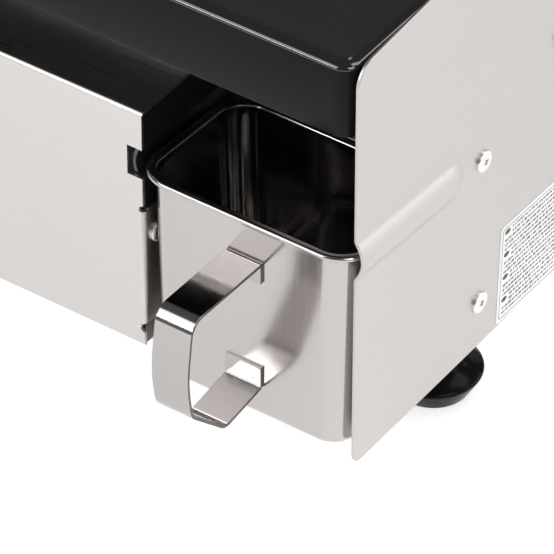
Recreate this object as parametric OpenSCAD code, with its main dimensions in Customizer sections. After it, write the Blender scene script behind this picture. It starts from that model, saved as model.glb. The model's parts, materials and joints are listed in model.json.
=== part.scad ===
// Countertop electric griddle with a slide-out grease container.
// Frame: X to the right, Y to the back, Z up, millimetres. The origin is on the floor, in the middle
// of the whole object. Inside at_body() X is measured from the middle of the body, Y from the front
// edge of the side panels and Z from the floor.

/* [Body] */
// Outer width across the two side panels
body_w = 550; // [500:5:620]
// Depth of the side panels
body_d = 400; // [380:5:460]
// Height of a side panel at its front edge
side_h = 206; // [200:1:212]
// Height of the side panels' lower edge above the floor
foot_h = 37; // [35:1:41]
// Upward slope of the side panels' top edge, degrees
side_rise = 4; // [2:0.5:5]
// Thickness of the sheet steel
sheet = 1.5; // [1.2:0.1:1.5]

/* [Griddle plate] */
// Height of the cooking surface above the side panels' lower edge
plate_top = 203.5; // [202:0.5:205]
// Height of the skirt around the plate
skirt_h = 36.2; // [33:0.2:37]
// Thickness of the cooking plate
plate_t = 8; // [7:0.5:8]
// Corner radius of the plate seen from above
plate_r = 8.5; // [7:0.5:12]
// Radius of the drain hole
drain_r = 11; // [8:1:11]

/* [Grease bay] */
// Width from the outer face of the right side panel to the right edge of the front panel
bay_w = 106.2; // [106.2:0.2:107]
// Distance from the front edge to the bay's rear wall
bay_d = 86; // [84:1:88]
// Height of the rail's middle line at the front edge, above the side panels' lower edge
rail_z = 109; // [108:1:110]
// Downward slope of the rails and the container towards the back, degrees
rail_slope = 4; // [3:0.5:4]
// Length of a rail's straight stretch
rail_len = 68; // [66:1:70]
// How far a rail stands out of the sheet
rail_out = 3.4; // [3.2:0.1:3.6]
// Radius of the rail's round section
rail_r = 15; // [15:0.5:15.5]

/* [Grease container] */
// Width over the container's rim
rim_w = 110.2; // [109.6:0.2:110.4]
// Depth over the container's rim
rim_d = 76; // [74:1:76]
// Width of the container's body below the rim
pot_w = 102.6; // [100:0.2:102.6]
// Height of the container's body below the rim
pot_h = 102.6; // [96:0.1:103]
// Wall thickness of the container
pot_t = 1; // [0.8:0.1:1.2]
// Corner radius of the container's body
pot_r = 13.5; // [12:0.5:16]
// Inward lean of each side wall over its height
pot_draft = 2.3; // [1:0.1:3]
// Width of the handle's strap
strap_w = 18; // [16:1:20]
// Thickness of the handle's strap
strap_t = 1.5; // [1.2:0.1:1.8]
// How far the handle stands out from the container's front wall
grip_out = 53; // [50:1:55]
// Height of the handle's upper leg above its lower leg
grip_h = 66; // [64:1:68]

/* [Controls] */
// Radius of the control knob
knob_r = 23; // [20:1:25]
// Length of the control knob
knob_l = 22; // [20:1:26]
// Radius of the thermostat shaft
shaft_r = 3; // [3:0.1:3.2]
// Radius of an indicator lamp's lens
lamp_r = 6; // [5:0.5:7]

/* [Feet] */
// Radius of a foot on the floor
foot_r = 17; // [15:0.5:18]
// Radius of a foot's widest ring
foot_rim_r = 22; // [20:0.5:22]
// Distance from a side panel's outer face to a foot's middle
foot_in = 25; // [24:0.5:28]
// Distance from the front edge to a front foot's middle
foot_y = 98; // [97:1:102]

/* [Hidden] */
$fn = 48;

eps = 0.01;
run_gap = 0.05;             // radial clearance of a running fit

head_h = 1.7;               // height of a pan-head screw's head
head_r = 4.6;
screw_r = 2;
screw_l = 9;

out_x = body_w / 2;         // outer face of the right side panel
in_x = out_x - sheet;       // inner face of the right side panel
pz = foot_h;                // lower edge of the side panels
top_z = pz + plate_top;     // cooking surface
front_x = out_x - bay_w;    // right edge of the front panel
part_x = front_x - sheet;   // face of the partition that looks into the bay
bay_mid = (part_x + in_x) / 2;
pot_x = out_x - 53.5;       // middle of the container
base_z = pz + 4;            // underside of the base pan
rear_y = body_d - sheet;    // front face of the back panel
rear_top = side_h + body_d * tan(side_rise);

face_z0 = pz + 12.6;        // lower edge of the front panel
face_z1 = pz + 137;         // upper edge of the front panel
face_flange = 46;           // depth of the front panel's top flange
face_riser = 29;            // height of the riser behind that flange
bend_r = 2.2;               // outer radius of the sheet bends
notch_z = pz + 103;
notch_h = 15;
notch_w = 7.5;
lap_z0 = pz + 24;           // flange of the front panel that laps the partition
lap_z1 = pz + 85;
lap_d = 17;
lap_r = 2.8;                // outer radius of the lap flange's bend
lap_screw = [10.2, pz + 70];

rail_back = rail_r - rail_out;            // depth of the rail's axis behind the sheet's outer face
slot_r = rail_r - sheet;                  // radius of the groove inside a rail
rim_y = -5.5;                             // front edge of the container's rim
rim_z = pz + 107.6;                       // underside of the rim at its front edge
rim_t = 2.6;

knob_x = -52;
knob_z = pz + 72;
lamp_x = [-150, -122];
lamp_z = pz + 72;
dial_t = 1;
dial_r = 38;
knob_gap = 0.8;             // between the dial plate and the knob

gland_x = -205;
gland_z = pz + 50;
gland_r = 10;
gland_bore = 4.2;
gland_out = 18;
reset_x = 120;
reset_z = pz + 46;
cutout_x = 98;              // where the cut-out's capillary passes the heat shield
reset_r = 4;

foot_ring_z = 11;         // height of a foot's widest ring
foot_top_z = 19;
stem_r = 4;
stem_top = base_z + 16;
foot_rear_y = body_d - 60;
foot_x = out_x - foot_in;

back_y = body_d + gland_out;              // rearmost point
front_y = rim_y + (rim_w - pot_w) / 2 - grip_out;   // foremost point, the grip
mid_y = (back_y + front_y) / 2;
mid_x = (rail_out - head_h) / 2;

side_holes_right = [[93, pz + 24.4], [93, pz + 100.5], [151, pz + 128.3],
                    [345, pz + 24.4], [345, pz + 128.3]];
side_holes_left = [[24, pz + 24.4], [24, pz + 100.5], [93, pz + 24.4], [151, pz + 128.3],
                   [345, pz + 24.4], [345, pz + 128.3]];
bay_screw_y = 93;           // screws that hold the bay's rear wall
bay_screw_z = pz + 100.5;
part_y = 2.4;               // front edge of the partition, behind the front panel
part_low = [60, pz + 24.4]; // screw that holds the partition to the base pan
part_holes = [lap_screw, part_low, [bay_screw_y, bay_screw_z]];

element_r = 4.1;
element_z = top_z - plate_t - element_r;
element_x = 205;            // half length of a heating element
element_pitch = 36;
element_rows = 4;
tray_z = pz + 148;
tray_top = top_z - skirt_h;  // the plate's skirt stands on the tray's lips
tray_y0 = 52;
tray_y1 = 376;
wing_y = 100;               // front of the tray's wing behind the bay
wing_x = part_x - 8;
lip_w = 12;                 // lips of the tray that carry the plate
tray_low = pz + 116;        // lower edge of the tray's side flanges
stud_x = [-150, 0, 120];
stud_y = [150, 300];
stud_r = 3;
clamp_z = element_z - element_r - 3;

// ---------------------------------------------------------------- helpers

module at_body() {
    translate([-mid_x, -mid_y, 0])
        children();
}

// Unit vector from a to b.
function unit(a, b) = (b - a) / norm(b - a);

// Points of the arc of radius r that rounds corner b between a and c.
function corner(a, b, c, r, n = 8) =
    r <= 0 ? [b] :
    let (u = unit(b, a), v = unit(b, c),
         half = acos(max(-1, min(1, u * v))) / 2,
         m = unit([0, 0], u + v),
         o = b + m * r / sin(half),
         p = b + u * r / tan(half) - o,
         q = b + v * r / tan(half) - o,
         a0 = atan2(p[1], p[0]),
         turn = atan2(q[1], q[0]) - a0,
         sweep = turn > 180 ? turn - 360 : turn < -180 ? turn + 360 : turn)
    [for (i = [0:n]) o + r * [cos(a0 + sweep * i / n), sin(a0 + sweep * i / n)]];

// Outline through pts with the corner radii rs.
function round_poly(pts, rs, n = 8) =
    let (k = len(pts))
    [for (i = [0:k - 1]) each corner(pts[(i + k - 1) % k], pts[i], pts[(i + 1) % k], rs[i], n)];

function rect_pts(w, d) = [[-w / 2, -d / 2], [w / 2, -d / 2], [w / 2, d / 2], [-w / 2, d / 2]];

module round_rect(w, d, r, h) {
    linear_extrude(h)
        polygon(round_poly(rect_pts(w, d), [r, r, r, r]));
}

// An outline drawn in (Y, Z) and extruded along X from x0 over w.
module yz_extrude(x0, w) {
    translate([x0, 0, 0])
        rotate([90, 0, 90])
            linear_extrude(w)
                children();
}

module x_cylinder(r, h) {
    rotate([0, 90, 0])
        cylinder(r = r, h = h);
}

module y_cylinder(r, h) {
    rotate([-90, 0, 0])
        cylinder(r = r, h = h);
}

// Box from corner a to corner b.
module box(a, b) {
    translate(a)
        cube(b - a);
}

// Pan-head screw pointing into the wall, with its head's underside at the origin and its head up.
module pan_screw(r = head_r, h = head_h, l = screw_l) {
    difference() {
        union() {
            intersection() {
                cylinder(r = r, h = h);
                translate([0, 0, h - 2.2 * r])
                    sphere(r = 2.2 * r);
            }
            translate([0, 0, -l])
                cylinder(r = screw_r, h = l + eps);
        }
        for (a = [0, 90])
            rotate([0, 0, a])
                translate([-0.5 * r, -0.14 * r, h - 0.9])
                    cube([r, 0.28 * r, 2]);
    }
}

// Straight round rail with a round end; its axis starts at y = -front and runs along +Y.
module rail_body(r, front = 0) {
    translate([0, -front, 0])
        y_cylinder(r, rail_len + front);
    translate([0, rail_len, 0])
        sphere(r = r);
}

// Puts a rail on the sheet's outer face, at the front edge and at the rails' slope.
module at_rail() {
    translate([-rail_back, 0, pz + rail_z])
        rotate([-rail_slope, 0, 0])
            children();
}

// Sheet with a rail pressed out to +X. The sheet's outer face is at x = 0.
module railed_sheet() {
    difference() {
        union() {
            children();
            intersection() {
                at_rail()
                    rail_body(rail_r);
                box([-eps, 0, 0], [rail_out + 1, body_d, pz + side_h]);
            }
        }
        intersection() {
            at_rail()
                rail_body(slot_r, 2);
            box([-sheet - 1, -5, 0], [rail_out + 1, body_d, pz + side_h]);
        }
    }
}

// ---------------------------------------------------------------- housing

module side_outline() {
    polygon(round_poly([[0, pz], [body_d, pz], [body_d, pz + rear_top], [0, pz + side_h]],
                       [5, 5, 14, 10]));
}

module side_panel_right() {
    color([0.78, 0.77, 0.76])
        at_body()
            difference() {
                translate([out_x, 0, 0])
                    railed_sheet()
                        yz_extrude(-sheet, sheet)
                            side_outline();
                for (h = side_holes_right)
                    translate([in_x - 1, h[0], h[1]])
                        x_cylinder(screw_r + 0.3, sheet + 2);
            }
}

module side_panel_left() {
    color([0.78, 0.77, 0.76])
        at_body()
            difference() {
                yz_extrude(-out_x, sheet)
                    side_outline();
                for (h = side_holes_left)
                    translate([-out_x - 1, h[0], h[1]])
                        x_cylinder(screw_r + 0.3, sheet + 2);
            }
}

// Section of the front panel: lower flange, face, top flange and riser.
module front_section() {
    y1 = face_flange;
    z2 = face_z1 + face_riser;
    polygon(round_poly([[0, face_z0], [0, face_z1], [y1, face_z1], [y1, z2], [y1 + sheet, z2],
                        [y1 + sheet, face_z1 - sheet], [sheet, face_z1 - sheet],
                        [sheet, face_z0 + sheet], [12, face_z0 + sheet], [12, face_z0]],
                       [bend_r, bend_r, 0.6, 0, 0, bend_r, bend_r - sheet, bend_r - sheet, 0, 0]));
}

module front_panel() {
    color([0.8, 0.79, 0.78])
        at_body()
            difference() {
                union() {
                    yz_extrude(-in_x, front_x + in_x)
                        front_section();
                    box([-in_x, sheet / 2, pz + 38], [-in_x + sheet, 34, face_z1 - sheet]);
                    box([front_x - sheet, 0.4, lap_z0], [front_x, lap_d, lap_z1]);
                }
                box([front_x - notch_w, -1, notch_z], [front_x + 1, 4, notch_z + notch_h]);
                box([front_x - 3, sheet, face_z0 - 1], [front_x + 1, face_flange + 3, lap_z0]);
                difference() {
                    box([front_x - lap_r, -1, lap_z0], [front_x + 1, lap_r, lap_z1]);
                    translate([front_x - lap_r, lap_r, lap_z0])
                        cylinder(r = lap_r, h = lap_z1 - lap_z0);
                }
                for (z = [lap_z0 - 1.5, lap_z1 + 1.5])
                    translate([front_x, -1, z])
                        y_cylinder(2, 5);
                translate([front_x - 3, lap_screw[0], lap_screw[1]])
                    x_cylinder(screw_r + 0.3, 6);
                translate([-in_x - 1, 24, bay_screw_z])
                    x_cylinder(screw_r + 0.3, 4);
                translate([knob_x, -1, knob_z])
                    y_cylinder(5.5, 4);
                for (dx = [-14, 14])
                    translate([knob_x + dx, -1, knob_z])
                        y_cylinder(2.1, 4);
                for (x = lamp_x)
                    translate([x, -1, lamp_z])
                        y_cylinder(lamp_r - 1 + run_gap, 4);
            }
}

module partition_outline() {
    polygon([[part_y, pz + 12], [bay_d + 1.5, pz + 12], [bay_d + 1.5, pz + 36.5],
             [101, pz + 36.5], [101, pz + 146], [50, pz + 146], [50, pz + 134.8],
             [part_y, pz + 134.8]]);
}

module bay_partition() {
    color([0.2, 0.2, 0.2])
        at_body()
            difference() {
                translate([part_x - sheet, 0, 0])
                    mirror([1, 0, 0])
                        railed_sheet()
                            yz_extrude(-sheet, sheet)
                                partition_outline();
                for (h = part_holes)
                    translate([part_x - 4, h[0], h[1]])
                        x_cylinder(screw_r + 0.3, 6);
                box([part_x - 12, -1, pz + 90], [part_x + 2, part_y, pz + 125]);
            }
}

module bay_back_wall() {
    color([0.75, 0.74, 0.73])
        at_body()
            difference() {
                union() {
                    box([part_x, bay_d, pz + 7], [in_x, bay_d + sheet, pz + 147]);
                    for (x = [part_x, in_x - sheet])
                        box([x, bay_d, pz + 38], [x + sheet, 102, pz + 112]);
                }
                for (x = [part_x - 1, in_x - sheet - 1])
                    translate([x, bay_screw_y, bay_screw_z])
                        x_cylinder(screw_r + 0.3, 4);
            }
}

function base_outline(d) = [[-in_x + d, 14 + d], [part_x - sheet - d, 14 + d],
                            [part_x - sheet - d, bay_d + 2 + d], [in_x - d, bay_d + 2 + d],
                            [in_x - d, rear_y - d], [-in_x + d, rear_y - d]];

module base_pan() {
    color([0.72, 0.72, 0.72])
        at_body()
            difference() {
                translate([0, 0, base_z])
                    linear_extrude(31)
                        polygon(base_outline(0));
                translate([0, 0, base_z + sheet])
                    linear_extrude(40)
                        polygon(base_outline(sheet));
                translate([0, 0, base_z - 1])
                    foot_places()
                        cylinder(r = 6.4, h = 4);
                translate([part_x - 4, part_low[0], part_low[1]])
                    x_cylinder(screw_r + 0.3, 5);
                for (x = [-150:24:60])
                    box([x, 180, base_z - 1], [x + 5, 250, base_z + 3]);
                for (x = [-1, 1])
                    for (y = x > 0 ? [93, 345] : [24, 93, 345])
                        translate([x * (in_x - 1) - 2, y, pz + 24.4])
                            x_cylinder(screw_r + 0.3, 4);
                for (x = [-240, 0, 240])
                    translate([x, rear_y - 3, pz + 20])
                        y_cylinder(screw_r + 0.3, 5);
            }
}

module foot_places() {
    for (x = [-1, 1])
        for (y = [foot_y, foot_rear_y])
            translate([x * foot_x, y, 0])
                children();
}

module back_panel() {
    color([0.75, 0.75, 0.75])
        at_body()
            difference() {
                box([-in_x, rear_y, pz + 4], [in_x, body_d, top_z - 22]);
                for (row = [0:4])
                    for (x = [-110:60:70])
                        box([x, rear_y - 1, pz + 70 + row * 12], [x + 44, body_d + 1, pz + 74 + row * 12]);
                translate([gland_x, rear_y - 1, gland_z])
                    y_cylinder(gland_r - 2 + run_gap, 4);
                translate([reset_x, rear_y - 1, reset_z])
                    y_cylinder(reset_r + 1.4, 4);
                for (x = [-240, 0, 240])
                    translate([x, rear_y - 1, pz + 20])
                        y_cylinder(screw_r + 0.3, 4);
                for (x = [-230, 0, 230])
                    translate([x, rear_y - 1, pz + 172])
                        y_cylinder(screw_r + 0.3, 4);
            }
}

// Section of the splash guard: a sheet folded over at the top.
module splash_guard() {
    z0 = pz + 166;
    z1 = pz + rear_top - 4;
    y0 = body_d - 12;
    color([0.78, 0.77, 0.76])
        at_body()
            difference() {
                yz_extrude(-in_x, 2 * in_x)
                    polygon(round_poly([[y0, top_z - 2], [y0, z1], [body_d - sheet, z1],
                                        [body_d - sheet, z0], [body_d - 2 * sheet, z0],
                                        [body_d - 2 * sheet, z1 - sheet], [y0 + sheet, z1 - sheet],
                                        [y0 + sheet, top_z - 2]],
                                       [0, bend_r, bend_r, 0, 0, 0.7, 0.7, 0]));
                for (x = [-230, 0, 230])
                    translate([x, body_d - 2 * sheet - 1, pz + 172])
                        y_cylinder(screw_r + 0.3, 4);
            }
}

module side_screws() {
    color([0.86, 0.86, 0.86])
        at_body() {
            for (h = side_holes_right)
                translate([out_x, h[0], h[1]])
                    rotate([0, 90, 0])
                        rotate([0, 0, 12 + h[0]])
                            pan_screw();
            for (h = side_holes_left)
                translate([-out_x, h[0], h[1]])
                    rotate([0, -90, 0])
                        rotate([0, 0, 30 + h[0]])
                            pan_screw();
        }
}

module bay_screws() {
    color([0.6, 0.6, 0.6])
        at_body() {
            translate([front_x, lap_screw[0], lap_screw[1]])
                rotate([0, 90, 0])
                    pan_screw();
            translate([part_x, part_low[0], part_low[1]])
                rotate([0, 90, 0])
                    pan_screw();
            translate([part_x - sheet, bay_screw_y, bay_screw_z])
                rotate([0, -90, 0])
                    pan_screw();
        }
}

module base_screws() {
    color([0.7, 0.7, 0.7])
        at_body()
            for (x = [-240, 0, 240])
                translate([x, body_d, pz + 20])
                    rotate([-90, 0, 0])
                        pan_screw();
}

module back_screws() {
    color([0.7, 0.7, 0.7])
        at_body()
            for (x = [-230, 0, 230])
                translate([x, body_d, pz + 172])
                    rotate([-90, 0, 0])
                        pan_screw();
}

module rating_label() {
    color([0.93, 0.93, 0.93])
        at_body()
            translate([out_x, 109, pz + 53])
                rotate([-2, 0, 0])
                    yz_extrude(0, 0.25)
                        polygon(round_poly([[0, -51.5], [86, -51.5], [86, 0], [0, 0]], [2, 2, 2, 2], 4));
}

// ---------------------------------------------------------------- plate and heating

plate_w = 2 * (in_x - 3);
plate_y0 = 1;
plate_y1 = body_d - 15;
plate_mid = (plate_y0 + plate_y1) / 2;
plate_l = plate_y1 - plate_y0;
skirt_t = 5;
drain_y = 56;
channel_t = 4;              // depth of the grease channel

// Pressed pan, open below: a thick plate with a skirt all round, a grease channel and its drain hole.
module griddle_plate() {
    color([0.16, 0.15, 0.15])
        at_body()
            translate([0, plate_mid, 0])
                difference() {
                    translate([0, 0, top_z - skirt_h])
                        round_rect(plate_w, plate_l, plate_r, skirt_h);
                    translate([0, 0, top_z - skirt_h - 1])
                        round_rect(plate_w - 2 * skirt_t, plate_l - 2 * skirt_t, plate_r - skirt_t,
                                   skirt_h - plate_t + 1);
                    translate([0, drain_y - plate_mid, top_z - channel_t])
                        round_rect(plate_w - 60, 2 * drain_r, drain_r - 1, channel_t + 1);
                    translate([bay_mid, drain_y - plate_mid, top_z - 20])
                        cylinder(r = drain_r, h = 30);
                }
}

module drain_spout() {
    color([0.5, 0.5, 0.5])
        at_body()
            translate([bay_mid, drain_y, 0])
                difference() {
                    union() {
                        translate([0, 0, pz + 134])
                            cylinder(r = drain_r + 1.5, h = top_z - plate_t - pz - 134);
                        translate([0, 0, top_z - plate_t - 3])
                            cylinder(r = drain_r + 7, h = 3);
                    }
                    translate([0, 0, pz + 130])
                        cylinder(r = drain_r - 0.5, h = 100);
                }
}

module tray_brackets() {
    color([0.6, 0.6, 0.6])
        at_body()
            for (x = [-1, 1])
                for (y = [151, 345])
                    translate([x * in_x, y, 0])
                        rotate([0, 0, x > 0 ? 180 : 0]) {
                            difference() {
                                box([sheet, -12, pz + 118], [2 * sheet, 12, tray_z]);
                                translate([-1, 0, pz + 128.3])
                                    x_cylinder(screw_r + 0.3, 8);
                            }
                            box([sheet, -12, tray_z - sheet], [14, 12, tray_z]);
                        }
}

// Tubular element bent into element_rows straight runs; z = 0 is its axis.
module element(rows) {
    for (i = [0:rows - 1])
        translate([-element_x, i * element_pitch, 0])
            x_cylinder(element_r, 2 * element_x - 40);
    for (i = [0:rows - 2])
        translate([i % 2 == 0 ? element_x - 40 : -element_x, (i + 0.5) * element_pitch, 0])
            rotate([0, 0, i % 2 == 0 ? -90 : 90])
                rotate_extrude(angle = 180)
                    translate([element_pitch / 2, 0])
                        circle(r = element_r);
}

// Cold ends that turn down through the heat shield.
module element_leg(y) {
    translate([-element_x, y, 0]) {
        sphere(r = element_r);
        translate([0, 0, -50])
            cylinder(r = element_r, h = 50);
        translate([0, 0, -58])
            cylinder(r = 1.6, h = 9);
    }
}

module heating_element(y0) {
    color([0.35, 0.33, 0.32])
        at_body()
            translate([0, y0, element_z]) {
                element(element_rows);
                for (i = [0, element_rows - 1])
                    element_leg(i * element_pitch);
            }
}

element_front_y = 96;
element_rear_y = 246;

module heating_element_front() heating_element(element_front_y);

module heating_element_rear() heating_element(element_rear_y);

module element_clamps() {
    color([0.6, 0.6, 0.62])
        at_body()
            for (x = stud_x)
                for (y0 = [element_front_y, element_rear_y])
                    difference() {
                        box([x - 10, y0 - 8, clamp_z],
                            [x + 10, y0 + element_pitch * (element_rows - 1) + 8, clamp_z + 3]);
                        translate([x, y0 + element_pitch * (element_rows - 1) / 2, clamp_z - 1])
                            cylinder(r = stud_r + 0.3, h = 6);
                    }
}

module stud_places() {
    for (x = stud_x)
        for (y0 = [element_front_y, element_rear_y])
            translate([x, y0 + element_pitch * (element_rows - 1) / 2, 0])
                children();
}

module plate_studs() {
    color([0.62, 0.62, 0.64])
        at_body()
            stud_places()
                translate([0, 0, clamp_z - 9])
                    cylinder(r = stud_r, h = top_z - plate_t - clamp_z + 9);
}

module plate_nuts() {
    color([0.66, 0.66, 0.68])
        at_body()
            stud_places()
                translate([0, 0, clamp_z - 5])
                    difference() {
                        cylinder(r = 5.8, h = 5, $fn = 6);
                        translate([0, 0, -1])
                            cylinder(r = stud_r + run_gap, h = 7);
                    }
}

function tray_outline(d) = [[-in_x + d, tray_y0 + d], [wing_x - d, tray_y0 + d],
                            [wing_x - d, wing_y + d], [in_x - d, wing_y + d],
                            [in_x - d, tray_y1 - d], [-in_x + d, tray_y1 - d]];

module leg_holes(r, h) {
    for (y0 = [element_front_y, element_rear_y])
        for (i = [0, element_rows - 1])
            translate([-element_x, y0 + i * element_pitch, 0])
                cylinder(r = r, h = h);
}

module heat_shield() {
    color([0.7, 0.7, 0.71])
        at_body()
            difference() {
                union() {
                    difference() {
                        translate([0, 0, tray_z])
                            linear_extrude(tray_top - tray_z)
                                polygon(tray_outline(0));
                        translate([0, 0, tray_z + sheet])
                            linear_extrude(60)
                                polygon(tray_outline(sheet));
                    }
                    for (x = [-in_x, in_x - sheet])
                        box([x, wing_y + 10, tray_low], [x + sheet, tray_y1 - 6, tray_z + eps]);
                    for (x = [-in_x, in_x - lip_w])
                        box([x, wing_y + 10, tray_top - sheet], [x + lip_w, tray_y1 - 6, tray_top]);
                }
                for (x = [-1, 1])
                    for (y = [151, 345])
                        translate([x * (in_x - 1) - 3, y, pz + 128.3])
                            x_cylinder(screw_r + 0.3, 6);
                translate([0, 0, tray_z - 1])
                    leg_holes(element_r + 1, 4);
                translate([knob_x, 130, tray_z - 1])
                    cylinder(r = 4, h = 4);
                translate([cutout_x, 330, tray_z - 1])
                    cylinder(r = 4, h = 4);
            }
}

module insulation_blanket() {
    color([0.87, 0.83, 0.72])
        at_body()
            difference() {
                translate([0, 0, tray_z + sheet])
                    linear_extrude(15)
                        polygon(tray_outline(sheet + 1));
                translate([0, 0, tray_z])
                    leg_holes(element_r + 2, 40);
                translate([knob_x, 130, tray_z])
                    cylinder(r = 5, h = 40);
                translate([cutout_x, 330, tray_z])
                    cylinder(r = 5, h = 40);
            }
}

// ---------------------------------------------------------------- controls

module thermostat_body() {
    color([0.85, 0.83, 0.78])
        at_body()
            difference() {
                union() {
                    box([knob_x - 20, 3.2, knob_z - 22], [knob_x + 20, 30, knob_z + 22]);
                    box([knob_x - 24, sheet, knob_z - 8], [knob_x + 24, 3.2, knob_z + 8]);
                    translate([knob_x, sheet - 0.4, knob_z])
                        y_cylinder(5, 3);
                    for (x = [-12, 12])
                        for (z = [-12, 0, 12])
                            box([knob_x + x - 3, 29, knob_z + z - 0.5], [knob_x + x + 3, 38, knob_z + z + 0.5]);
                }
                translate([knob_x, 0, knob_z])
                    y_cylinder(shaft_r + run_gap, 20);
                for (dx = [-14, 14])
                    translate([knob_x + dx, 0, knob_z])
                        y_cylinder(2.05, 14);
            }
}

module thermostat_screws() {
    color([0.8, 0.8, 0.8])
        at_body()
            for (dx = [-14, 14])
                translate([knob_x + dx, -0.05, knob_z])
                    rotate([90, 0, 0])
                        pan_screw(r = 3.2, h = 0.8, l = 8);
}

module thermostat_shaft() {
    color([0.75, 0.75, 0.76])
        at_body()
            difference() {
                translate([knob_x, -knob_l + 4, knob_z])
                    y_cylinder(shaft_r, knob_l + 14);
                box([knob_x - 5, -knob_l, knob_z + shaft_r - 1.2], [knob_x + 5, -8, knob_z + 5]);
            }
}

module thermostat_bulb() {
    color([0.72, 0.45, 0.3])
        at_body()
            translate([knob_x + 30, 114, element_z - 0.6])
                x_cylinder(3, 90);
}

// Direction of the route pts at point i, and a side vector square to it.
function heading(pts, i) =
    let (a = pts[max(i - 1, 0)], b = pts[min(i + 1, len(pts) - 1)], c = pts[i],
         u = i == 0 ? [0, 0, 0] : unit(a, c), v = i == len(pts) - 1 ? [0, 0, 0] : unit(c, b))
    (u + v) / norm(u + v);
function side_of(d) = let (s = cross(d, [0.31, 0.17, 0.94])) s / norm(s);

// Thin tube of radius r along the route pts, as one closed sweep.
module tube(pts, r, sides = 8) {
    n = len(pts);
    rings = [for (i = [0:n - 1])
                 let (d = heading(pts, i), s = side_of(d), t = cross(d, s))
                 for (k = [0:sides - 1])
                     pts[i] + r * (s * cos(360 * k / sides) + t * sin(360 * k / sides))];
    walls = [for (i = [0:n - 2])
                 for (k = [0:sides - 1])
                     let (a = i * sides + k, b = i * sides + (k + 1) % sides)
                     each [[a, a + sides, b], [b, a + sides, b + sides]]];
    first = [for (k = [1:sides - 2]) [0, k, k + 1]];
    last = [for (k = [1:sides - 2]) [(n - 1) * sides, (n - 1) * sides + k + 1, (n - 1) * sides + k]];
    polyhedron(points = rings, faces = concat(walls, first, last));
}

module thermostat_capillary() {
    z = element_z - 0.6;
    color([0.72, 0.45, 0.3])
        at_body()
            tube([[knob_x, 30, knob_z + 10], [knob_x, 60, knob_z + 10],
                       [knob_x, 130, knob_z + 40], [knob_x, 130, z - 8], [knob_x, 120, z],
                       [knob_x + 10, 114, z], [knob_x + 30, 114, z]], 1);
}

module safety_cutout() {
    color([0.15, 0.15, 0.15])
        at_body()
            difference() {
                union() {
                    box([reset_x - 18, rear_y - 30, reset_z - 16], [reset_x + 18, rear_y - 4, reset_z + 16]);
                    translate([reset_x, rear_y - 5, reset_z])
                        y_cylinder(reset_r + 1.2, 4.8);
                    for (x = [-10, 10])
                        box([reset_x + x - 3, rear_y - 38, reset_z - 4], [reset_x + x + 3, rear_y - 29, reset_z - 3]);
                }
                translate([reset_x, rear_y - 12, reset_z])
                    y_cylinder(reset_r + 0.2, 20);
            }
}

module cutout_bulb() {
    color([0.72, 0.45, 0.3])
        at_body()
            translate([cutout_x - 96, 336, element_z - 0.6])
                x_cylinder(3, 80);
}

module cutout_capillary() {
    z = element_z - 0.6;
    color([0.72, 0.45, 0.3])
        at_body()
            tube([[reset_x, rear_y - 30, reset_z + 8], [reset_x, rear_y - 40, reset_z + 8],
                  [cutout_x, 330, reset_z + 40], [cutout_x, 330, z - 8], [cutout_x - 4, 334, z],
                  [cutout_x - 12, 336, z], [cutout_x - 16, 336, z]], 1);
}

module reset_button() {
    color([0.75, 0.1, 0.08])
        at_body()
            translate([reset_x, rear_y - 8, reset_z])
                y_cylinder(reset_r, 13);
}

module lamp_lens(x) {
    at_body()
        translate([x, 0, lamp_z]) {
            difference() {
                translate([0, -3.4, 0])
                    y_cylinder(lamp_r, 3.4);
                translate([0, -1.6, 0])
                    y_cylinder(lamp_r - 2.4, 3);
            }
        }
}

module power_lamp() color([0.1, 0.6, 0.2]) lamp_lens(lamp_x[0]);

module heating_lamp() color([0.9, 0.45, 0.05]) lamp_lens(lamp_x[1]);

module lamp_bodies() {
    color([0.2, 0.2, 0.2])
        at_body()
            for (x = lamp_x)
                translate([x, 0, lamp_z]) {
                    y_cylinder(lamp_r - 1, 20);
                    translate([0, sheet, 0])
                        y_cylinder(lamp_r + 1, 3);
                    for (dx = [-2.5, 2.5])
                        box([dx - 0.4, 19, -2], [dx + 0.4, 27, 2]);
                }
}

module dial_plate() {
    color([0.85, 0.85, 0.85])
        at_body()
            difference() {
                translate([knob_x, -dial_t, knob_z])
                    y_cylinder(dial_r, dial_t);
                translate([knob_x, -dial_t - 1, knob_z])
                    y_cylinder(knob_r - 3, dial_t + 2);
            }
}

module control_knob() {
    color([0.1, 0.1, 0.1])
        at_body()
            difference() {
                translate([knob_x, -dial_t - knob_gap, knob_z])
                    rotate([90, 0, 0]) {
                        cylinder(r = knob_r, h = 5);
                        translate([0, 0, 4.9])
                            cylinder(r = knob_r - 3, h = knob_l - 5);
                        translate([-4, -knob_r + 1, 4.9])
                            cube([8, 2 * knob_r - 2, knob_l - 2]);
                    }
                translate([knob_x, -knob_l + 4, knob_z])
                    y_cylinder(shaft_r, knob_l);
                translate([knob_x - 0.75, -knob_l - 8, knob_z + 5])
                    cube([1.5, 6, knob_r]);
            }
}

module knob_pointer() {
    color([0.95, 0.95, 0.95])
        at_body()
            box([knob_x - 0.75, -dial_t - knob_gap - knob_l - 2.9, knob_z + 5],
                [knob_x + 0.75, -knob_l - 2, knob_z + knob_r - 1]);
}

// ---------------------------------------------------------------- electrics

module terminal_block() {
    color([0.9, 0.9, 0.88])
        at_body()
            difference() {
                box([gland_x - 30, 340, base_z + sheet], [gland_x + 30, 360, base_z + sheet + 20]);
                for (i = [0:4])
                    translate([gland_x - 24 + i * 12, 350, base_z + 10])
                        cylinder(r = 3, h = 20);
            }
}

module earth_stud() {
    color([0.8, 0.7, 0.35])
        at_body()
            translate([gland_x + 48, 350, base_z + sheet]) {
                cylinder(r = 2.5, h = 16);
                translate([0, 0, 2])
                    cylinder(r = 4.6, h = 3.2, $fn = 6);
            }
}

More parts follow.
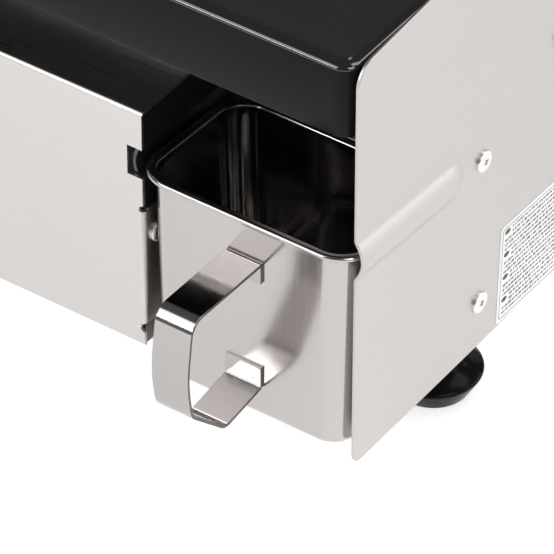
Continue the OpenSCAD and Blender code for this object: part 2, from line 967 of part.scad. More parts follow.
module internal_wiring() {
    color([0.55, 0.1, 0.1])
        at_body() {
            z = base_z + 12;
            tube([[gland_x + 31, 350, z + 4], [gland_x + 60, 320, z], [knob_x + 12, 120, z],
                       [knob_x + 12, 60, knob_z - 12], [knob_x + 12, 38.5, knob_z - 12]], 1.5);
            tube([[gland_x + 31, 346, z], [20, 320, z], [reset_x - 10, 330, z],
                       [reset_x - 10, rear_y - 38.5, reset_z - 3.5]], 1.5);
            tube([[gland_x, 339, z], [-element_x + 25, 300, z + 4],
                       [-element_x + 25, element_rear_y, z + 50],
                       [-element_x, element_rear_y, element_z - 60]], 1.5);
            tube([[gland_x - 20, 339, z], [-element_x + 5, 230, z + 4],
                       [-element_x + 5, element_front_y, z + 50],
                       [-element_x, element_front_y, element_z - 60]], 1.5);
            tube([[lamp_x[0] + 2.5, 27.5, lamp_z], [lamp_x[0] + 10, 60, lamp_z - 30],
                       [knob_x + 12, 62, knob_z - 18]], 1.5);
        }
}

module cable_gland() {
    color([0.12, 0.12, 0.12])
        at_body()
            translate([gland_x, 0, gland_z])
                difference() {
                    union() {
                        translate([0, rear_y - 9, 0])
                            y_cylinder(gland_r - 2, 12);
                        translate([0, body_d, 0])
                            rotate([-90, 0, 0])
                                cylinder(r = gland_r + 1.5, h = 5, $fn = 6);
                        translate([0, body_d + 4.9, 0])
                            y_cylinder(gland_r, gland_out - 4.9);
                    }
                    translate([0, rear_y - 20, 0])
                        y_cylinder(gland_bore, 60);
                }
}

module gland_nut() {
    color([0.12, 0.12, 0.12])
        at_body()
            translate([gland_x, rear_y - 5, gland_z])
                rotate([-90, 0, 0])
                    difference() {
                        cylinder(r = gland_r + 1.5, h = 5, $fn = 6);
                        translate([0, 0, -1])
                            cylinder(r = gland_r - 2 + run_gap, h = 8);
                    }
}

// ---------------------------------------------------------------- grease container

pot_d = rim_d - (rim_w - pot_w);
rim_mid = rim_y + rim_d / 2;
wall_y = rim_mid - pot_d / 2;             // outer face of the container's front wall
pot_z = rim_z - pot_h;                    // underside of the container

// Children are tilted with the rails about the rim's front edge.
module at_rim() {
    translate([pot_x, rim_y, rim_z])
        rotate([-rail_slope, 0, 0])
            translate([0, rim_d / 2, 0])
                children();
}

// Upright pot, d inside the outer face, from z0 up to the slope of the rim.
module pot_solid(d, z0) {
    base_r = 5;
    r = pot_r - d;
    hull()
        for (sx = [-1, 1])
            for (sy = [-1, 1])
                translate([pot_x, rim_mid + sy * (pot_d / 2 - pot_r), 0]) {
                    translate([sx * (pot_w / 2 - pot_r), 0, rim_z - sy * pot_rise + rim_t / 2])
                        cylinder(r = r, h = 0.02, $fn = 32);
                    translate([sx * (pot_w / 2 - pot_r - pot_draft), 0, z0]) {
                        translate([0, 0, base_r])
                            cylinder(r = r, h = 1, $fn = 32);
                        translate([0, 0, 1.5])
                            cylinder(r = r - 1.5, h = 1, $fn = 32);
                        cylinder(r = r - base_r, h = 1, $fn = 32);
                    }
                }
}

pot_rise = (pot_d / 2 - pot_r) * tan(rail_slope) + 0.9;

module grease_container() {
    color([0.8, 0.79, 0.78])
        at_body()
            difference() {
                union() {
                    difference() {
                        pot_solid(0, pot_z);
                        at_rim()
                            translate([0, 0, rim_t / 2])
                                round_rect(rim_w + 20, rim_d + 20, 1, 60);
                    }
                    at_rim()
                        round_rect(rim_w, rim_d, pot_r + (rim_w - pot_w) / 2, rim_t);
                }
                pot_solid(pot_t, pot_z + pot_t);
                at_rim()
                    translate([0, 0, -1])
                        round_rect(pot_w - 2 * pot_t, pot_d - 2 * pot_t, pot_r - pot_t, 10);
            }
}

// Unit normal on the left of the step from a to b.
function left_of(a, b) = let (u = unit(a, b)) [-u[1], u[0]];

// Points of the path pts moved t to its left, and the corner radii that go with them.
function offset_pts(pts, t) =
    let (k = len(pts) - 1)
    [for (i = [0:k])
        let (m = left_of(pts[max(i - 1, 0)], pts[max(i, 1)]),
             n = left_of(pts[min(i, k - 1)], pts[min(i + 1, k)]))
        pts[i] + t * (m + n) / (1 + m * n)];
function offset_radii(pts, rs, t) =
    [for (i = [0:len(pts) - 1])
        rs[i] == 0 ? 0 :
        rs[i] + t * (left_of(pts[i - 1], pts[i]) * unit(pts[i], pts[i + 1]) > 0 ? -1 : 1)];
function reversed(v) = [for (i = [len(v) - 1:-1:0]) v[i]];

// The strap's outer side in (Y, Z): welded tab, upper leg, bowed grip, slope, lower leg, welded tab.
tab_h = 10.3;
weld_gap = 0.03;            // the tabs lie this close to the wall
leg_top = pz + 88.5;
leg_low = leg_top - grip_h - 1;
strap_y = wall_y - weld_gap;
strap_pts = [[strap_y, leg_top - tab_h], [strap_y, leg_top], [wall_y - grip_out + 3.5, leg_top + 2],
             [wall_y - grip_out - 0.72, leg_top - 28], [wall_y - grip_out + 2.28, leg_low + 19.5],
             [wall_y - grip_out + 26, leg_low - 3.5], [strap_y, leg_low], [strap_y, leg_low + tab_h + 1]];
strap_rs = [0, 1.8, 8.5, 70, 11, 8, 1.8, 0];

module container_handle() {
    pts = concat(strap_pts, reversed(offset_pts(strap_pts, strap_t)));
    rs = concat(strap_rs, reversed(offset_radii(strap_pts, strap_rs, strap_t)));
    color([0.8, 0.79, 0.78])
        at_body()
            yz_extrude(pot_x - strap_w / 2 - 0.3, strap_w)
                polygon(round_poly(pts, rs, 10));
}

// ---------------------------------------------------------------- feet

module foot() {
    color([0.06, 0.06, 0.06])
        difference() {
            rotate_extrude()
                polygon(round_poly([[0, 0], [foot_r, 0], [foot_rim_r, foot_ring_z - 1.5],
                                    [foot_rim_r, foot_ring_z + 0.5], [13, foot_top_z - 1.5],
                                    [8, foot_top_z], [0, foot_top_z]],
                                   [0, 1, 1.5, 1.5, 8, 1, 0], 5));
            translate([0, 0, 7])
                cylinder(r = stem_r, h = foot_top_z);
        }
}

module foot_stem() {
    color([0.7, 0.7, 0.71]) {
        translate([0, 0, 7])
            cylinder(r = stem_r, h = stem_top - 7);
        translate([0, 0, foot_top_z])
            cylinder(r = 7.5, h = 5, $fn = 6);
    }
}

module at_foot(x, y) {
    at_body()
        translate([x, y, 0])
            children();
}

module foot_front_left() at_foot(-foot_x, foot_y) foot();
module foot_front_right() at_foot(foot_x, foot_y) foot();
module foot_rear_left() at_foot(-foot_x, foot_rear_y) foot();
module foot_rear_right() at_foot(foot_x, foot_rear_y) foot();
module foot_stem_front_left() at_foot(-foot_x, foot_y) foot_stem();
module foot_stem_front_right() at_foot(foot_x, foot_y) foot_stem();
module foot_stem_rear_left() at_foot(-foot_x, foot_rear_y) foot_stem();
module foot_stem_rear_right() at_foot(foot_x, foot_rear_y) foot_stem();

module foot_nuts() {
    color([0.7, 0.7, 0.71])
        at_body()
            foot_places()
                translate([0, 0, base_z])
                    difference() {
                        union() {
                            cylinder(r = 6.3, h = 3);
                            translate([0, 0, sheet])
                                cylinder(r = 8, h = 6);
                        }
                        translate([0, 0, -1])
                            cylinder(r = stem_r + run_gap, h = 12);
                    }
}

side_panel_right();
side_panel_left();
front_panel();
bay_partition();
bay_back_wall();
base_pan();
back_panel();
splash_guard();
griddle_plate();
drain_spout();
tray_brackets();
heating_element_front();
heating_element_rear();
element_clamps();
plate_studs();
plate_nuts();
insulation_blanket();
heat_shield();
thermostat_body();
thermostat_bulb();
thermostat_capillary();
thermostat_screws();
safety_cutout();
cutout_bulb();
cutout_capillary();
reset_button();
power_lamp();
heating_lamp();
lamp_bodies();
dial_plate();
control_knob();
knob_pointer();
thermostat_shaft();
terminal_block();
internal_wiring();
cable_gland();
gland_nut();
earth_stud();
rating_label();
side_screws();
bay_screws();
base_screws();
back_screws();
grease_container();
container_handle();
foot_front_left();
foot_front_right();
foot_rear_left();
foot_rear_right();
foot_stem_front_left();
foot_stem_front_right();
foot_stem_rear_left();
foot_stem_rear_right();
foot_nuts();
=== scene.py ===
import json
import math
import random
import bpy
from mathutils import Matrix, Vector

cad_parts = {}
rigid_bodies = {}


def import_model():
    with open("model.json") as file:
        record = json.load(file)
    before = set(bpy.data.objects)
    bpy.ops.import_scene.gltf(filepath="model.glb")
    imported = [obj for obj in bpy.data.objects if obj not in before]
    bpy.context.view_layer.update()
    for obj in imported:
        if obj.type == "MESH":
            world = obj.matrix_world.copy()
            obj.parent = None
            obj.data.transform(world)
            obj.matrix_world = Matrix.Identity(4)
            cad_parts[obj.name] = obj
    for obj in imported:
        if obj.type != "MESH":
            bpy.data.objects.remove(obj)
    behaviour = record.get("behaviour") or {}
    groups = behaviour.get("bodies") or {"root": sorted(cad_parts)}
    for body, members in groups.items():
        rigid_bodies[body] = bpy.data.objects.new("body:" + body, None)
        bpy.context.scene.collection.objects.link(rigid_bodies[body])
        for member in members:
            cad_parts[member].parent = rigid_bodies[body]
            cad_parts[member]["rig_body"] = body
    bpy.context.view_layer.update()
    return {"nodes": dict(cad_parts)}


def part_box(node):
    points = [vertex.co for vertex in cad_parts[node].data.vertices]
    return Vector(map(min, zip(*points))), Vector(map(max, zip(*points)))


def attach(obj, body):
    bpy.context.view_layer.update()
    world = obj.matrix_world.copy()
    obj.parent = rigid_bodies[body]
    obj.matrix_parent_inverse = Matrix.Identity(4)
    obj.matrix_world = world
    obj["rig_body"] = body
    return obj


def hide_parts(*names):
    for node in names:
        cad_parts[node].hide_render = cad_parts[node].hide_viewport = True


bl_info = {
    "name": "Countertop griddle",
    "version": (1, 0, 0),
    "blender": (4, 5, 0),
    "location": "3D View > Sidebar > Griddle",
    "description": "Finishes a countertop electric griddle with a slide-out grease container",
    "category": "Object",
}

import bmesh
import bpy
from bpy.props import FloatProperty, FloatVectorProperty, IntProperty, PointerProperty
from mathutils import Matrix, Vector

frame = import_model()

MM = 0.001
BODY_W = 550.0
SHEET = 1.5
OUT_X = BODY_W / 2
# The front edge of the side panels and the middle of the body, in the row frame.
ORIGIN = Vector((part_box("side_panel_left")[0].x + OUT_X * MM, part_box("side_panel_left")[0].y, 0.0))
FOOT_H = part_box("side_panel_left")[0].z / MM


def at_body(point):
    """A point in millimetres from the body's middle, front edge and floor, in the row frame."""
    return ORIGIN + Vector(point) * MM


def body_box(node):
    """Lowest and highest corner of a CAD node in body millimetres."""
    low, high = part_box(node)
    return (low - ORIGIN) / MM, (high - ORIGIN) / MM


# ---------------------------------------------------------------- sizes and colours


class GriddleSizes(bpy.types.PropertyGroup):
    """Sizes of the finishing details"""

    edge: FloatProperty(
        name="Sheet edge", description="Radius of a broken sheet edge", default=0.35 * MM,
        unit="LENGTH", precision=5)
    rail_out: FloatProperty(
        name="Rail height", description="How far the pressed rail stands out", default=3.4 * MM,
        unit="LENGTH", precision=5)
    bead: FloatProperty(
        name="Rim bead", description="Thickness of the container's rolled rim", default=2.8 * MM,
        unit="LENGTH", precision=5)
    plate_edge: FloatProperty(
        name="Plate edge", description="Rounding of the plate's upper edge", default=2.4 * MM,
        unit="LENGTH", precision=5)
    screw_head: FloatProperty(
        name="Screw head", description="Radius of a pan-head screw", default=5.1 * MM,
        unit="LENGTH", precision=5)
    print_rows: IntProperty(
        name="Label rows", description="Rows of grey bars on the label", default=19, min=1, max=30)


class GriddleColours(bpy.types.PropertyGroup):
    """Colours of the main finishes"""

    steel: FloatVectorProperty(
        name="Sheet steel", description="Brushed sheet", subtype="COLOR", size=3,
        default=(0.565, 0.543, 0.532), min=0, max=1)
    plate: FloatVectorProperty(
        name="Plate", description="Satin black cooking plate", subtype="COLOR", size=3,
        default=(0.029, 0.0265, 0.0272), min=0, max=1)
    rubber: FloatVectorProperty(
        name="Feet", description="Glossy black rubber", subtype="COLOR", size=3,
        default=(0.006, 0.006, 0.006), min=0, max=1)
    floor: FloatVectorProperty(
        name="Floor", description="Pale floor", subtype="COLOR", size=3,
        default=(0.86, 0.86, 0.86), min=0, max=1)


# ---------------------------------------------------------------- materials

finishes = {}


def new_material(name):
    """A material with a Principled shader, its node tree and that shader."""
    material = bpy.data.materials.new(name)
    material.use_nodes = True
    tree = material.node_tree
    return material, tree, tree.nodes["Principled BSDF"]


def surface_noise(tree, scale, detail=3.0):
    """Noise on Object coordinates, stretched by scale, in cycles per metre."""
    place = tree.nodes.new("ShaderNodeTexCoord")
    stretch = tree.nodes.new("ShaderNodeMapping")
    stretch.inputs["Scale"].default_value = scale
    noise = tree.nodes.new("ShaderNodeTexNoise")
    noise.inputs["Scale"].default_value = 1.0
    noise.inputs["Detail"].default_value = detail
    tree.links.new(place.outputs["Object"], stretch.inputs["Vector"])
    tree.links.new(stretch.outputs["Vector"], noise.inputs["Vector"])
    return noise.outputs["Fac"]


def spread(tree, value, low, high):
    """The noise value mapped from its usual range to low and high."""
    ranged = tree.nodes.new("ShaderNodeMapRange")
    ranged.inputs["From Min"].default_value = 0.3
    ranged.inputs["From Max"].default_value = 0.7
    ranged.inputs["To Min"].default_value = low
    ranged.inputs["To Max"].default_value = high
    tree.links.new(value, ranged.inputs["Value"])
    return ranged.outputs["Result"]


def tone(tree, value, dark, light):
    """A colour between dark and light, by value."""
    mix = tree.nodes.new("ShaderNodeMix")
    mix.data_type = "RGBA"
    mix.inputs[6].default_value = (*dark, 1)
    mix.inputs[7].default_value = (*light, 1)
    tree.links.new(value, mix.inputs[0])
    return mix.outputs[2]


def relief(tree, shader, value, depth, strength):
    """A bump of the given depth in metres on the shader's normal."""
    bump = tree.nodes.new("ShaderNodeBump")
    bump.inputs["Distance"].default_value = depth
    bump.inputs["Strength"].default_value = strength
    tree.links.new(value, bump.inputs["Height"])
    tree.links.new(bump.outputs["Normal"], shader.inputs["Normal"])


def shaded(colour, factor):
    """The colour made lighter or darker."""
    return tuple(min(1.0, c * factor) for c in colour)


def brushed(name, colour, roughness, grain, across=1500.0, along=16.0, contrast=0.05, strength=0.12):
    """Metal brushed along the axis grain, "X", "Y" or "Z"."""
    material, tree, shader = new_material(name)
    scale = [along if axis == grain else across for axis in "XYZ"]
    lines = surface_noise(tree, scale, 4.0)
    cloud = surface_noise(tree, (9.0, 9.0, 9.0), 2.0)
    shader.inputs["Metallic"].default_value = 1.0
    mixed = tree.nodes.new("ShaderNodeMix")
    mixed.inputs[0].default_value = 0.35
    tree.links.new(lines, mixed.inputs[2])
    tree.links.new(cloud, mixed.inputs[3])
    level = spread(tree, mixed.outputs[0], 0.0, 1.0)
    tree.links.new(tone(tree, level, shaded(colour, 1 - contrast), shaded(colour, 1 + contrast)),
                   shader.inputs["Base Color"])
    tree.links.new(spread(tree, lines, roughness * 0.86, roughness * 1.14), shader.inputs["Roughness"])
    relief(tree, shader, lines, 0.00008, strength)
    return material


def plain_metal(name, colour, roughness, grain=90.0):
    """Metal with a cloudy finish and no direction."""
    material, tree, shader = new_material(name)
    cloud = surface_noise(tree, (grain, grain, grain), 4.0)
    shader.inputs["Metallic"].default_value = 1.0
    tree.links.new(tone(tree, spread(tree, cloud, 0, 1), shaded(colour, 0.93), shaded(colour, 1.05)),
                   shader.inputs["Base Color"])
    tree.links.new(spread(tree, cloud, roughness * 0.8, roughness * 1.2), shader.inputs["Roughness"])
    return material


def coated(name, colour, roughness, grain=700.0, depth=0.00002, strength=0.2, specular=0.5, coat=0.0):
    """Plastic, rubber, enamel or paint with a fine skin."""
    material, tree, shader = new_material(name)
    skin = surface_noise(tree, (grain, grain, grain), 3.0)
    cloud = surface_noise(tree, (12.0, 12.0, 12.0), 2.0)
    shader.inputs["Specular IOR Level"].default_value = specular
    shader.inputs["Coat Weight"].default_value = coat
    shader.inputs["Coat Roughness"].default_value = 0.08
    tree.links.new(tone(tree, spread(tree, cloud, 0, 1), shaded(colour, 0.94), shaded(colour, 1.06)),
                   shader.inputs["Base Color"])
    tree.links.new(spread(tree, skin, roughness * 0.9, roughness * 1.1), shader.inputs["Roughness"])
    relief(tree, shader, skin, depth, strength)
    return material


def lens(name, colour):
    """Clear coloured plastic."""
    material, tree, shader = new_material(name)
    shader.inputs["Base Color"].default_value = (*colour, 1)
    shader.inputs["Roughness"].default_value = 0.08
    shader.inputs["Transmission Weight"].default_value = 0.35
    shader.inputs["Coat Weight"].default_value = 0.5
    return material


def make_finishes(colours):
    """Every finish of the griddle, by its name; grain directions have their own entry."""
    steel = tuple(colours.steel)
    finishes.update(
        # The side and front sheets are one steel: the side copy is made a little darker as painted shade,
        # and the front copy (also used on the back panel and splash guard) lighter as painted light.
        side_steel=brushed("Side sheet", shaded(steel, 0.965), 0.38, "Y", contrast=0.018, strength=0.035),
        front_steel=brushed("Front sheet", shaded(steel, 1.08), 0.31, "X", across=1300.0, contrast=0.012,
                            strength=0.012),
        # The bay partition is the same steel as the other sheets; its near-black colour is painted shade.
        inner_steel=brushed("Bay sheet", (0.12, 0.118, 0.118), 0.40, "Y", contrast=0.08),
        wall_steel=brushed("Bay wall sheet", (0.42, 0.41, 0.40), 0.32, "X", contrast=0.08),
        # The container's outside and the strap are stainless like the sheets, set darker than the sheet
        # steel as painted shade.
        drawn_steel=brushed("Drawn pot steel", (0.50, 0.477, 0.468), 0.17, "Z", across=1700.0,
                            along=10.0, contrast=0.022, strength=0.03),
        pot_inside=brushed("Pot inside", (0.50, 0.485, 0.475), 0.13, "Z", across=900.0, along=10.0,
                           contrast=0.03, strength=0.008),
        strap_steel=brushed("Strap steel", (0.44, 0.418, 0.408), 0.15, "Y", across=2100.0, along=9.0,
                            contrast=0.04, strength=0.04),
        # The strap's narrow side faces are near-black as painted shade.
        cut_edge=plain_metal("Cut edge", (0.13, 0.125, 0.12), 0.4, 500.0),
        weld=plain_metal("Spot weld", (0.52, 0.49, 0.46), 0.32, 900.0),
        zinc_sheet=plain_metal("Zinc sheet", (0.62, 0.63, 0.64), 0.42, 120.0),
        plate_black=coated("Plate surface", tuple(colours.plate), 0.3, 1500.0, 0.00001, 0.12, 0.14),
        # The skirt and the rounded rim are the plate's own black made three times darker as painted shade;
        # the rim also gets full specular and a coat so that it catches a bright highlight.
        plate_skirt=coated("Plate skirt enamel", shaded(tuple(colours.plate), 0.33), 0.16, 1500.0,
                           0.000004, 0.05, 0.07),
        plate_rim=coated("Plate rim enamel", shaded(tuple(colours.plate), 0.33), 0.08, 1500.0,
                         0.000004, 0.03, 1.0, 0.5),
        screw_bright=plain_metal("Nickel plate", (0.82, 0.81, 0.80), 0.30, 300.0),
        heater_tube=plain_metal("Heater tube", (0.16, 0.145, 0.14), 0.48, 260.0),
        mineral_wool=coated("Mineral wool", (0.78, 0.72, 0.58), 0.9, 420.0, 0.0006, 0.8, 0.1),
        copper_tube=plain_metal("Copper tube", (0.72, 0.38, 0.24), 0.28, 300.0),
        phenolic=coated("Phenolic", (0.28, 0.17, 0.09), 0.42, 500.0),
        black_plastic=coated("Black moulding", (0.012, 0.012, 0.012), 0.36, 900.0, 0.00003, 0.3),
        pointer_white=coated("White insert", (0.86, 0.86, 0.84), 0.35),
        lens_green=lens("Green lens", (0.02, 0.42, 0.10)),
        lens_amber=lens("Amber lens", (0.85, 0.30, 0.02)),
        button_red=coated("Red button", (0.50, 0.025, 0.02), 0.22, coat=0.4),
        dial_print=brushed("Anodised dial", (0.80, 0.80, 0.80), 0.38, "X", contrast=0.03),
        dial_ink=coated("Dial ink", (0.02, 0.02, 0.02), 0.5),
        ceramic=coated("Glazed ceramic", (0.84, 0.82, 0.76), 0.16, coat=0.3),
        wire_cover=coated("Wire sleeve", (0.36, 0.04, 0.035), 0.5),
        brass=plain_metal("Brass", (0.72, 0.52, 0.22), 0.25, 300.0),
        label_white=coated("Label film", (0.87, 0.875, 0.87), 0.40, 300.0, 0.00001, 0.1),
        label_ink=coated("Label ink", (0.13, 0.135, 0.14), 0.5),
        label_dark=coated("Label dark ink", (0.05, 0.05, 0.055), 0.5),
        foot_rubber=coated("Foot rubber", tuple(colours.rubber), 0.16, 300.0, 0.00001, 0.05, 0.09),
        zinc_steel=plain_metal("Zinc plate", (0.72, 0.72, 0.73), 0.28, 250.0),
    )


# ---------------------------------------------------------------- mesh helpers


def body_of_node(node):
    return frame["nodes"][node]["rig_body"]


def place(obj, node, finish, slot=None, stands_for=True):
    """Gives a finished piece its material, its body, and the node that it stands for."""
    if finish is not None:
        obj.data.materials.clear()
        obj.data.materials.append(finishes[finish])
    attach(obj, body_of_node(node))
    if stands_for:
        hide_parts(node)
    return obj


def smooth(mesh, angle=30.0):
    mesh.polygons.foreach_set("use_smooth", [True] * len(mesh.polygons))
    mesh.set_sharp_from_angle(angle=math.radians(angle))


def link(name, mesh):
    obj = bpy.data.objects.new(name, mesh)
    bpy.context.scene.collection.objects.link(obj)
    return obj


def clean_mesh(name, points, faces):
    """A merged mesh from points in metres, with its faces turned outwards."""
    mesh = bpy.data.meshes.new(name)
    mesh.from_pydata(points, [], faces)
    shell = bmesh.new()
    shell.from_mesh(mesh)
    bmesh.ops.remove_doubles(shell, verts=shell.verts, dist=1e-7)
    bmesh.ops.recalc_face_normals(shell, faces=shell.faces)
    shell.to_mesh(mesh)
    shell.free()
    return mesh


def mesh_piece(name, points, faces, angle=30.0):
    """A piece from points in body millimetres."""
    mesh = clean_mesh(name, [at_body(p) for p in points], faces)
    smooth(mesh, angle)
    return link(name, mesh)


def bevelled(obj, width, segments=2, angle=35.0):
    bevel = obj.modifiers.new("Broken edges", "BEVEL")
    bevel.width = width
    bevel.segments = segments
    bevel.limit_method = "ANGLE"
    bevel.angle_limit = math.radians(angle)
    bevel.use_clamp_overlap = True
    return obj


def dressed(node, name, finish, slot, width=0.25 * MM, segments=2, angle=32.0):
    """A piece made from a copy of a CAD node: welded, its flats joined, its edges broken."""
    mesh = frame["nodes"][node].data.copy()
    mesh.name = name
    shell = bmesh.new()
    shell.from_mesh(mesh)
    bmesh.ops.remove_doubles(shell, verts=shell.verts, dist=2e-6)
    bmesh.ops.dissolve_limit(
        shell, angle_limit=math.radians(0.4), verts=shell.verts, edges=shell.edges)
    shell.to_mesh(mesh)
    shell.free()
    if "custom_normal" in mesh.attributes:
        mesh.attributes.remove(mesh.attributes["custom_normal"])
    smooth(mesh, angle)
    obj = link(name, mesh)
    if width > 0:
        bevelled(obj, width, segments, angle + 3.0)
    return place(obj, node, finish, slot)


def plain_node(node, finish):
    """An inner CAD node keeps its own shape and gets its finish."""
    obj = frame["nodes"][node]
    obj.data.materials.clear()
    obj.data.materials.append(finishes[finish])


def revolved(profile, centre, axis="Z", segments=64):
    """Points and faces of a closed profile of (radius, height) turned round an axis through centre."""
    points, faces = [], []
    count = len(profile)
    for k in range(segments):
        a = 2 * math.pi * k / segments
        for radius, height in profile:
            p = Vector((radius * math.cos(a), radius * math.sin(a), height))
            if axis == "X":
                p = Vector((p.z, p.x, p.y))
            points.append(Vector(centre) + p)
    for k in range(segments):
        n = (k + 1) % segments
        for i in range(count - 1):
            faces.append((k * count + i, n * count + i, n * count + i + 1, k * count + i + 1))
    return points, faces


def arc(cx, cy, radius, start, end, steps):
    return [(cx + radius * math.cos(math.radians(start + (end - start) * i / steps)),
             cy + radius * math.sin(math.radians(start + (end - start) * i / steps)))
            for i in range(steps + 1)]


def ring(half_x, half_y, radius, corner=14, straight=5):
    """A rounded rectangle about (0, 0), anticlockwise from the right side's lower end."""
    points = []
    for sx, sy, start in ((1, 1, 0), (-1, 1, 90), (-1, -1, 180), (1, -1, 270)):
        cx, cy = sx * (half_x - radius), sy * (half_y - radius)
        turned = arc(cx, cy, radius, start, start + 90, corner)
        if points:
            last, first = points[-1], turned[0]
            points += [(last[0] + (first[0] - last[0]) * i / straight,
                        last[1] + (first[1] - last[1]) * i / straight) for i in range(1, straight)]
        points += turned
    last, first = points[-1], points[0]
    points += [(last[0] + (first[0] - last[0]) * i / straight,
                last[1] + (first[1] - last[1]) * i / straight) for i in range(1, straight)]
    return points


def lofted(rings, close_ends=True):
    """Points and faces through rings of equal length."""
    points = [p for loop in rings for p in loop]
    count = len(rings[0])
    faces = []
    for r in range(len(rings) - 1):
        for i in range(count):
            n = (i + 1) % count
            faces.append((r * count + i, r * count + n, (r + 1) * count + n, (r + 1) * count + i))
    if close_ends:
        faces.append(tuple(range(count)))
        faces.append(tuple(range((len(rings) - 1) * count, len(rings) * count)))
    return points, faces


def applied(obj):
    """The object's evaluated mesh as its own mesh, with no modifiers left."""
    bpy.context.view_layer.update()
    graph = bpy.context.evaluated_depsgraph_get()
    mesh = bpy.data.meshes.new_from_object(obj.evaluated_get(graph))
    obj.modifiers.clear()
    obj.data = mesh
    return obj


# ---------------------------------------------------------------- repeated pieces


def copies_tree():
    """Geometry Nodes that put a piece on every point, turned and sized by the point's own values."""
    tree = bpy.data.node_groups.new("Placed copies", "GeometryNodeTree")
    face = tree.interface
    face.new_socket("Geometry", in_out="INPUT", socket_type="NodeSocketGeometry")
    face.new_socket("Piece", in_out="INPUT", socket_type="NodeSocketObject")
    face.new_socket("Finish", in_out="INPUT", socket_type="NodeSocketMaterial")
    size = face.new_socket("Size", in_out="INPUT", socket_type="NodeSocketFloat")
    size.default_value = 1.0
    face.new_socket("Geometry", in_out="OUTPUT", socket_type="NodeSocketGeometry")
    nodes, links = tree.nodes, tree.links
    given = nodes.new("NodeGroupInput")
    out = nodes.new("NodeGroupOutput")
    piece = nodes.new("GeometryNodeObjectInfo")
    turn = nodes.new("GeometryNodeInputNamedAttribute")
    turn.data_type = "FLOAT_VECTOR"
    turn.inputs["Name"].default_value = "turn"
    stretch = nodes.new("GeometryNodeInputNamedAttribute")
    stretch.data_type = "FLOAT_VECTOR"
    stretch.inputs["Name"].default_value = "stretch"
    rotation = nodes.new("FunctionNodeEulerToRotation")
    scale = nodes.new("ShaderNodeVectorMath")
    scale.operation = "SCALE"
    put = nodes.new("GeometryNodeInstanceOnPoints")
    realize = nodes.new("GeometryNodeRealizeInstances")
    finish = nodes.new("GeometryNodeSetMaterial")
    links.new(given.outputs["Piece"], piece.inputs["Object"])
    links.new(given.outputs["Geometry"], put.inputs["Points"])
    links.new(piece.outputs["Geometry"], put.inputs["Instance"])
    links.new(turn.outputs["Attribute"], rotation.inputs[0])
    links.new(rotation.outputs[0], put.inputs["Rotation"])
    links.new(stretch.outputs["Attribute"], scale.inputs[0])
    links.new(given.outputs["Size"], scale.inputs["Scale"])
    links.new(scale.outputs[0], put.inputs["Scale"])
    links.new(put.outputs["Instances"], realize.inputs["Geometry"])
    links.new(realize.outputs["Geometry"], finish.inputs["Geometry"])
    links.new(given.outputs["Finish"], finish.inputs["Material"])
    links.new(finish.outputs["Geometry"], out.inputs["Geometry"])
    return tree


def copies(name, master, places, finish, size=1.0, angle=30.0):
    """One mesh with the master at every place (point in body mm, Euler turn, stretch)."""
    tree = bpy.data.node_groups.get("Placed copies") or copies_tree()
    mesh = bpy.data.meshes.new(name)
    mesh.from_pydata([at_body(p) for p, _, _ in places], [], [])
    for key, column in (("turn", 1), ("stretch", 2)):
        values = mesh.attributes.new(key, "FLOAT_VECTOR", "POINT")
        values.data.foreach_set("vector", [c for row in places for c in row[column]])
    obj = link(name, mesh)
    modifier = obj.modifiers.new("Placed copies", "NODES")
    modifier.node_group = tree
    sockets = {item.name: item.identifier for item in tree.interface.items_tree
               if item.in_out == "INPUT"}
    modifier[sockets["Piece"]] = master
    modifier[sockets["Finish"]] = finishes[finish]
    modifier[sockets["Size"]] = size
    applied(obj)
    for key in ("turn", "stretch"):
        if key in obj.data.attributes:
            obj.data.attributes.remove(obj.data.attributes[key])
    smooth(obj.data, angle)
    return obj


def master_piece(name, points, faces):
    """A pattern piece in metres at the origin, for copies only."""
    return link(name, clean_mesh(name, [Vector(p) * MM for p in points], faces))


def drop(*objects):
    for obj in objects:
        bpy.data.objects.remove(obj)


def box_points(low, high):
    points = [(x, y, z) for x in (low[0], high[0]) for y in (low[1], high[1]) for z in (low[2], high[2])]
    faces = [(0, 1, 3, 2), (4, 6, 7, 5), (0, 4, 5, 1), (2, 3, 7, 6), (0, 2, 6, 4), (1, 5, 7, 3)]
    return points, faces


def screw_master(radius, height):
    """Pan head with a cross recess, its underside at z = 0 and its head up."""
    profile = [(0.0, -0.4), (radius, -0.4), (radius, height * 0.5)]
    for i in range(1, 9):
        r = radius * math.cos(math.radians(90 * i / 9)) ** 0.32
        profile.append((r, height * 0.5 + height * 0.5 * math.sin(math.radians(90 * i / 9))))
    profile.append((0.0, height))
    points, faces = revolved(profile, (0, 0, 0), "Z", 40)
    head = master_piece("Screw head pattern", points, faces)
    cuts = []
    for turn in (0, 90):
        half = (0.34 * radius, 0.11 * radius)
        if turn:
            half = half[::-1]
        points, faces = box_points((-half[0], -half[1], height - 0.85), (half[0], half[1], height + 1))
        cuts.append(master_piece("Cross pattern", points, faces))
    for cut in cuts:
        boolean = head.modifiers.new("Cross", "BOOLEAN")
        boolean.operation = "DIFFERENCE"
        boolean.solver = "EXACT"
        boolean.object = cut
    applied(head)
    drop(*cuts)
    return head


def screw_places(holes, axis, side):
    """Places of screws whose heads face side along axis."""
    turns = {("X", 1): (0, math.pi / 2, 0), ("X", -1): (0, -math.pi / 2, 0),
             ("Y", 1): (-math.pi / 2, 0, 0), ("Y", -1): (math.pi / 2, 0, 0)}
    places = []
    for spin, point in holes:
        base = turns[(axis, side)]
        turn = (Matrix.Rotation(base[2], 3, "Z") @ Matrix.Rotation(base[1], 3, "Y")
                @ Matrix.Rotation(base[0], 3, "X") @ Matrix.Rotation(math.radians(spin), 3, "Z"))
        places.append((point, tuple(turn.to_euler()), (1, 1, 1)))
    return places


# ---------------------------------------------------------------- housing

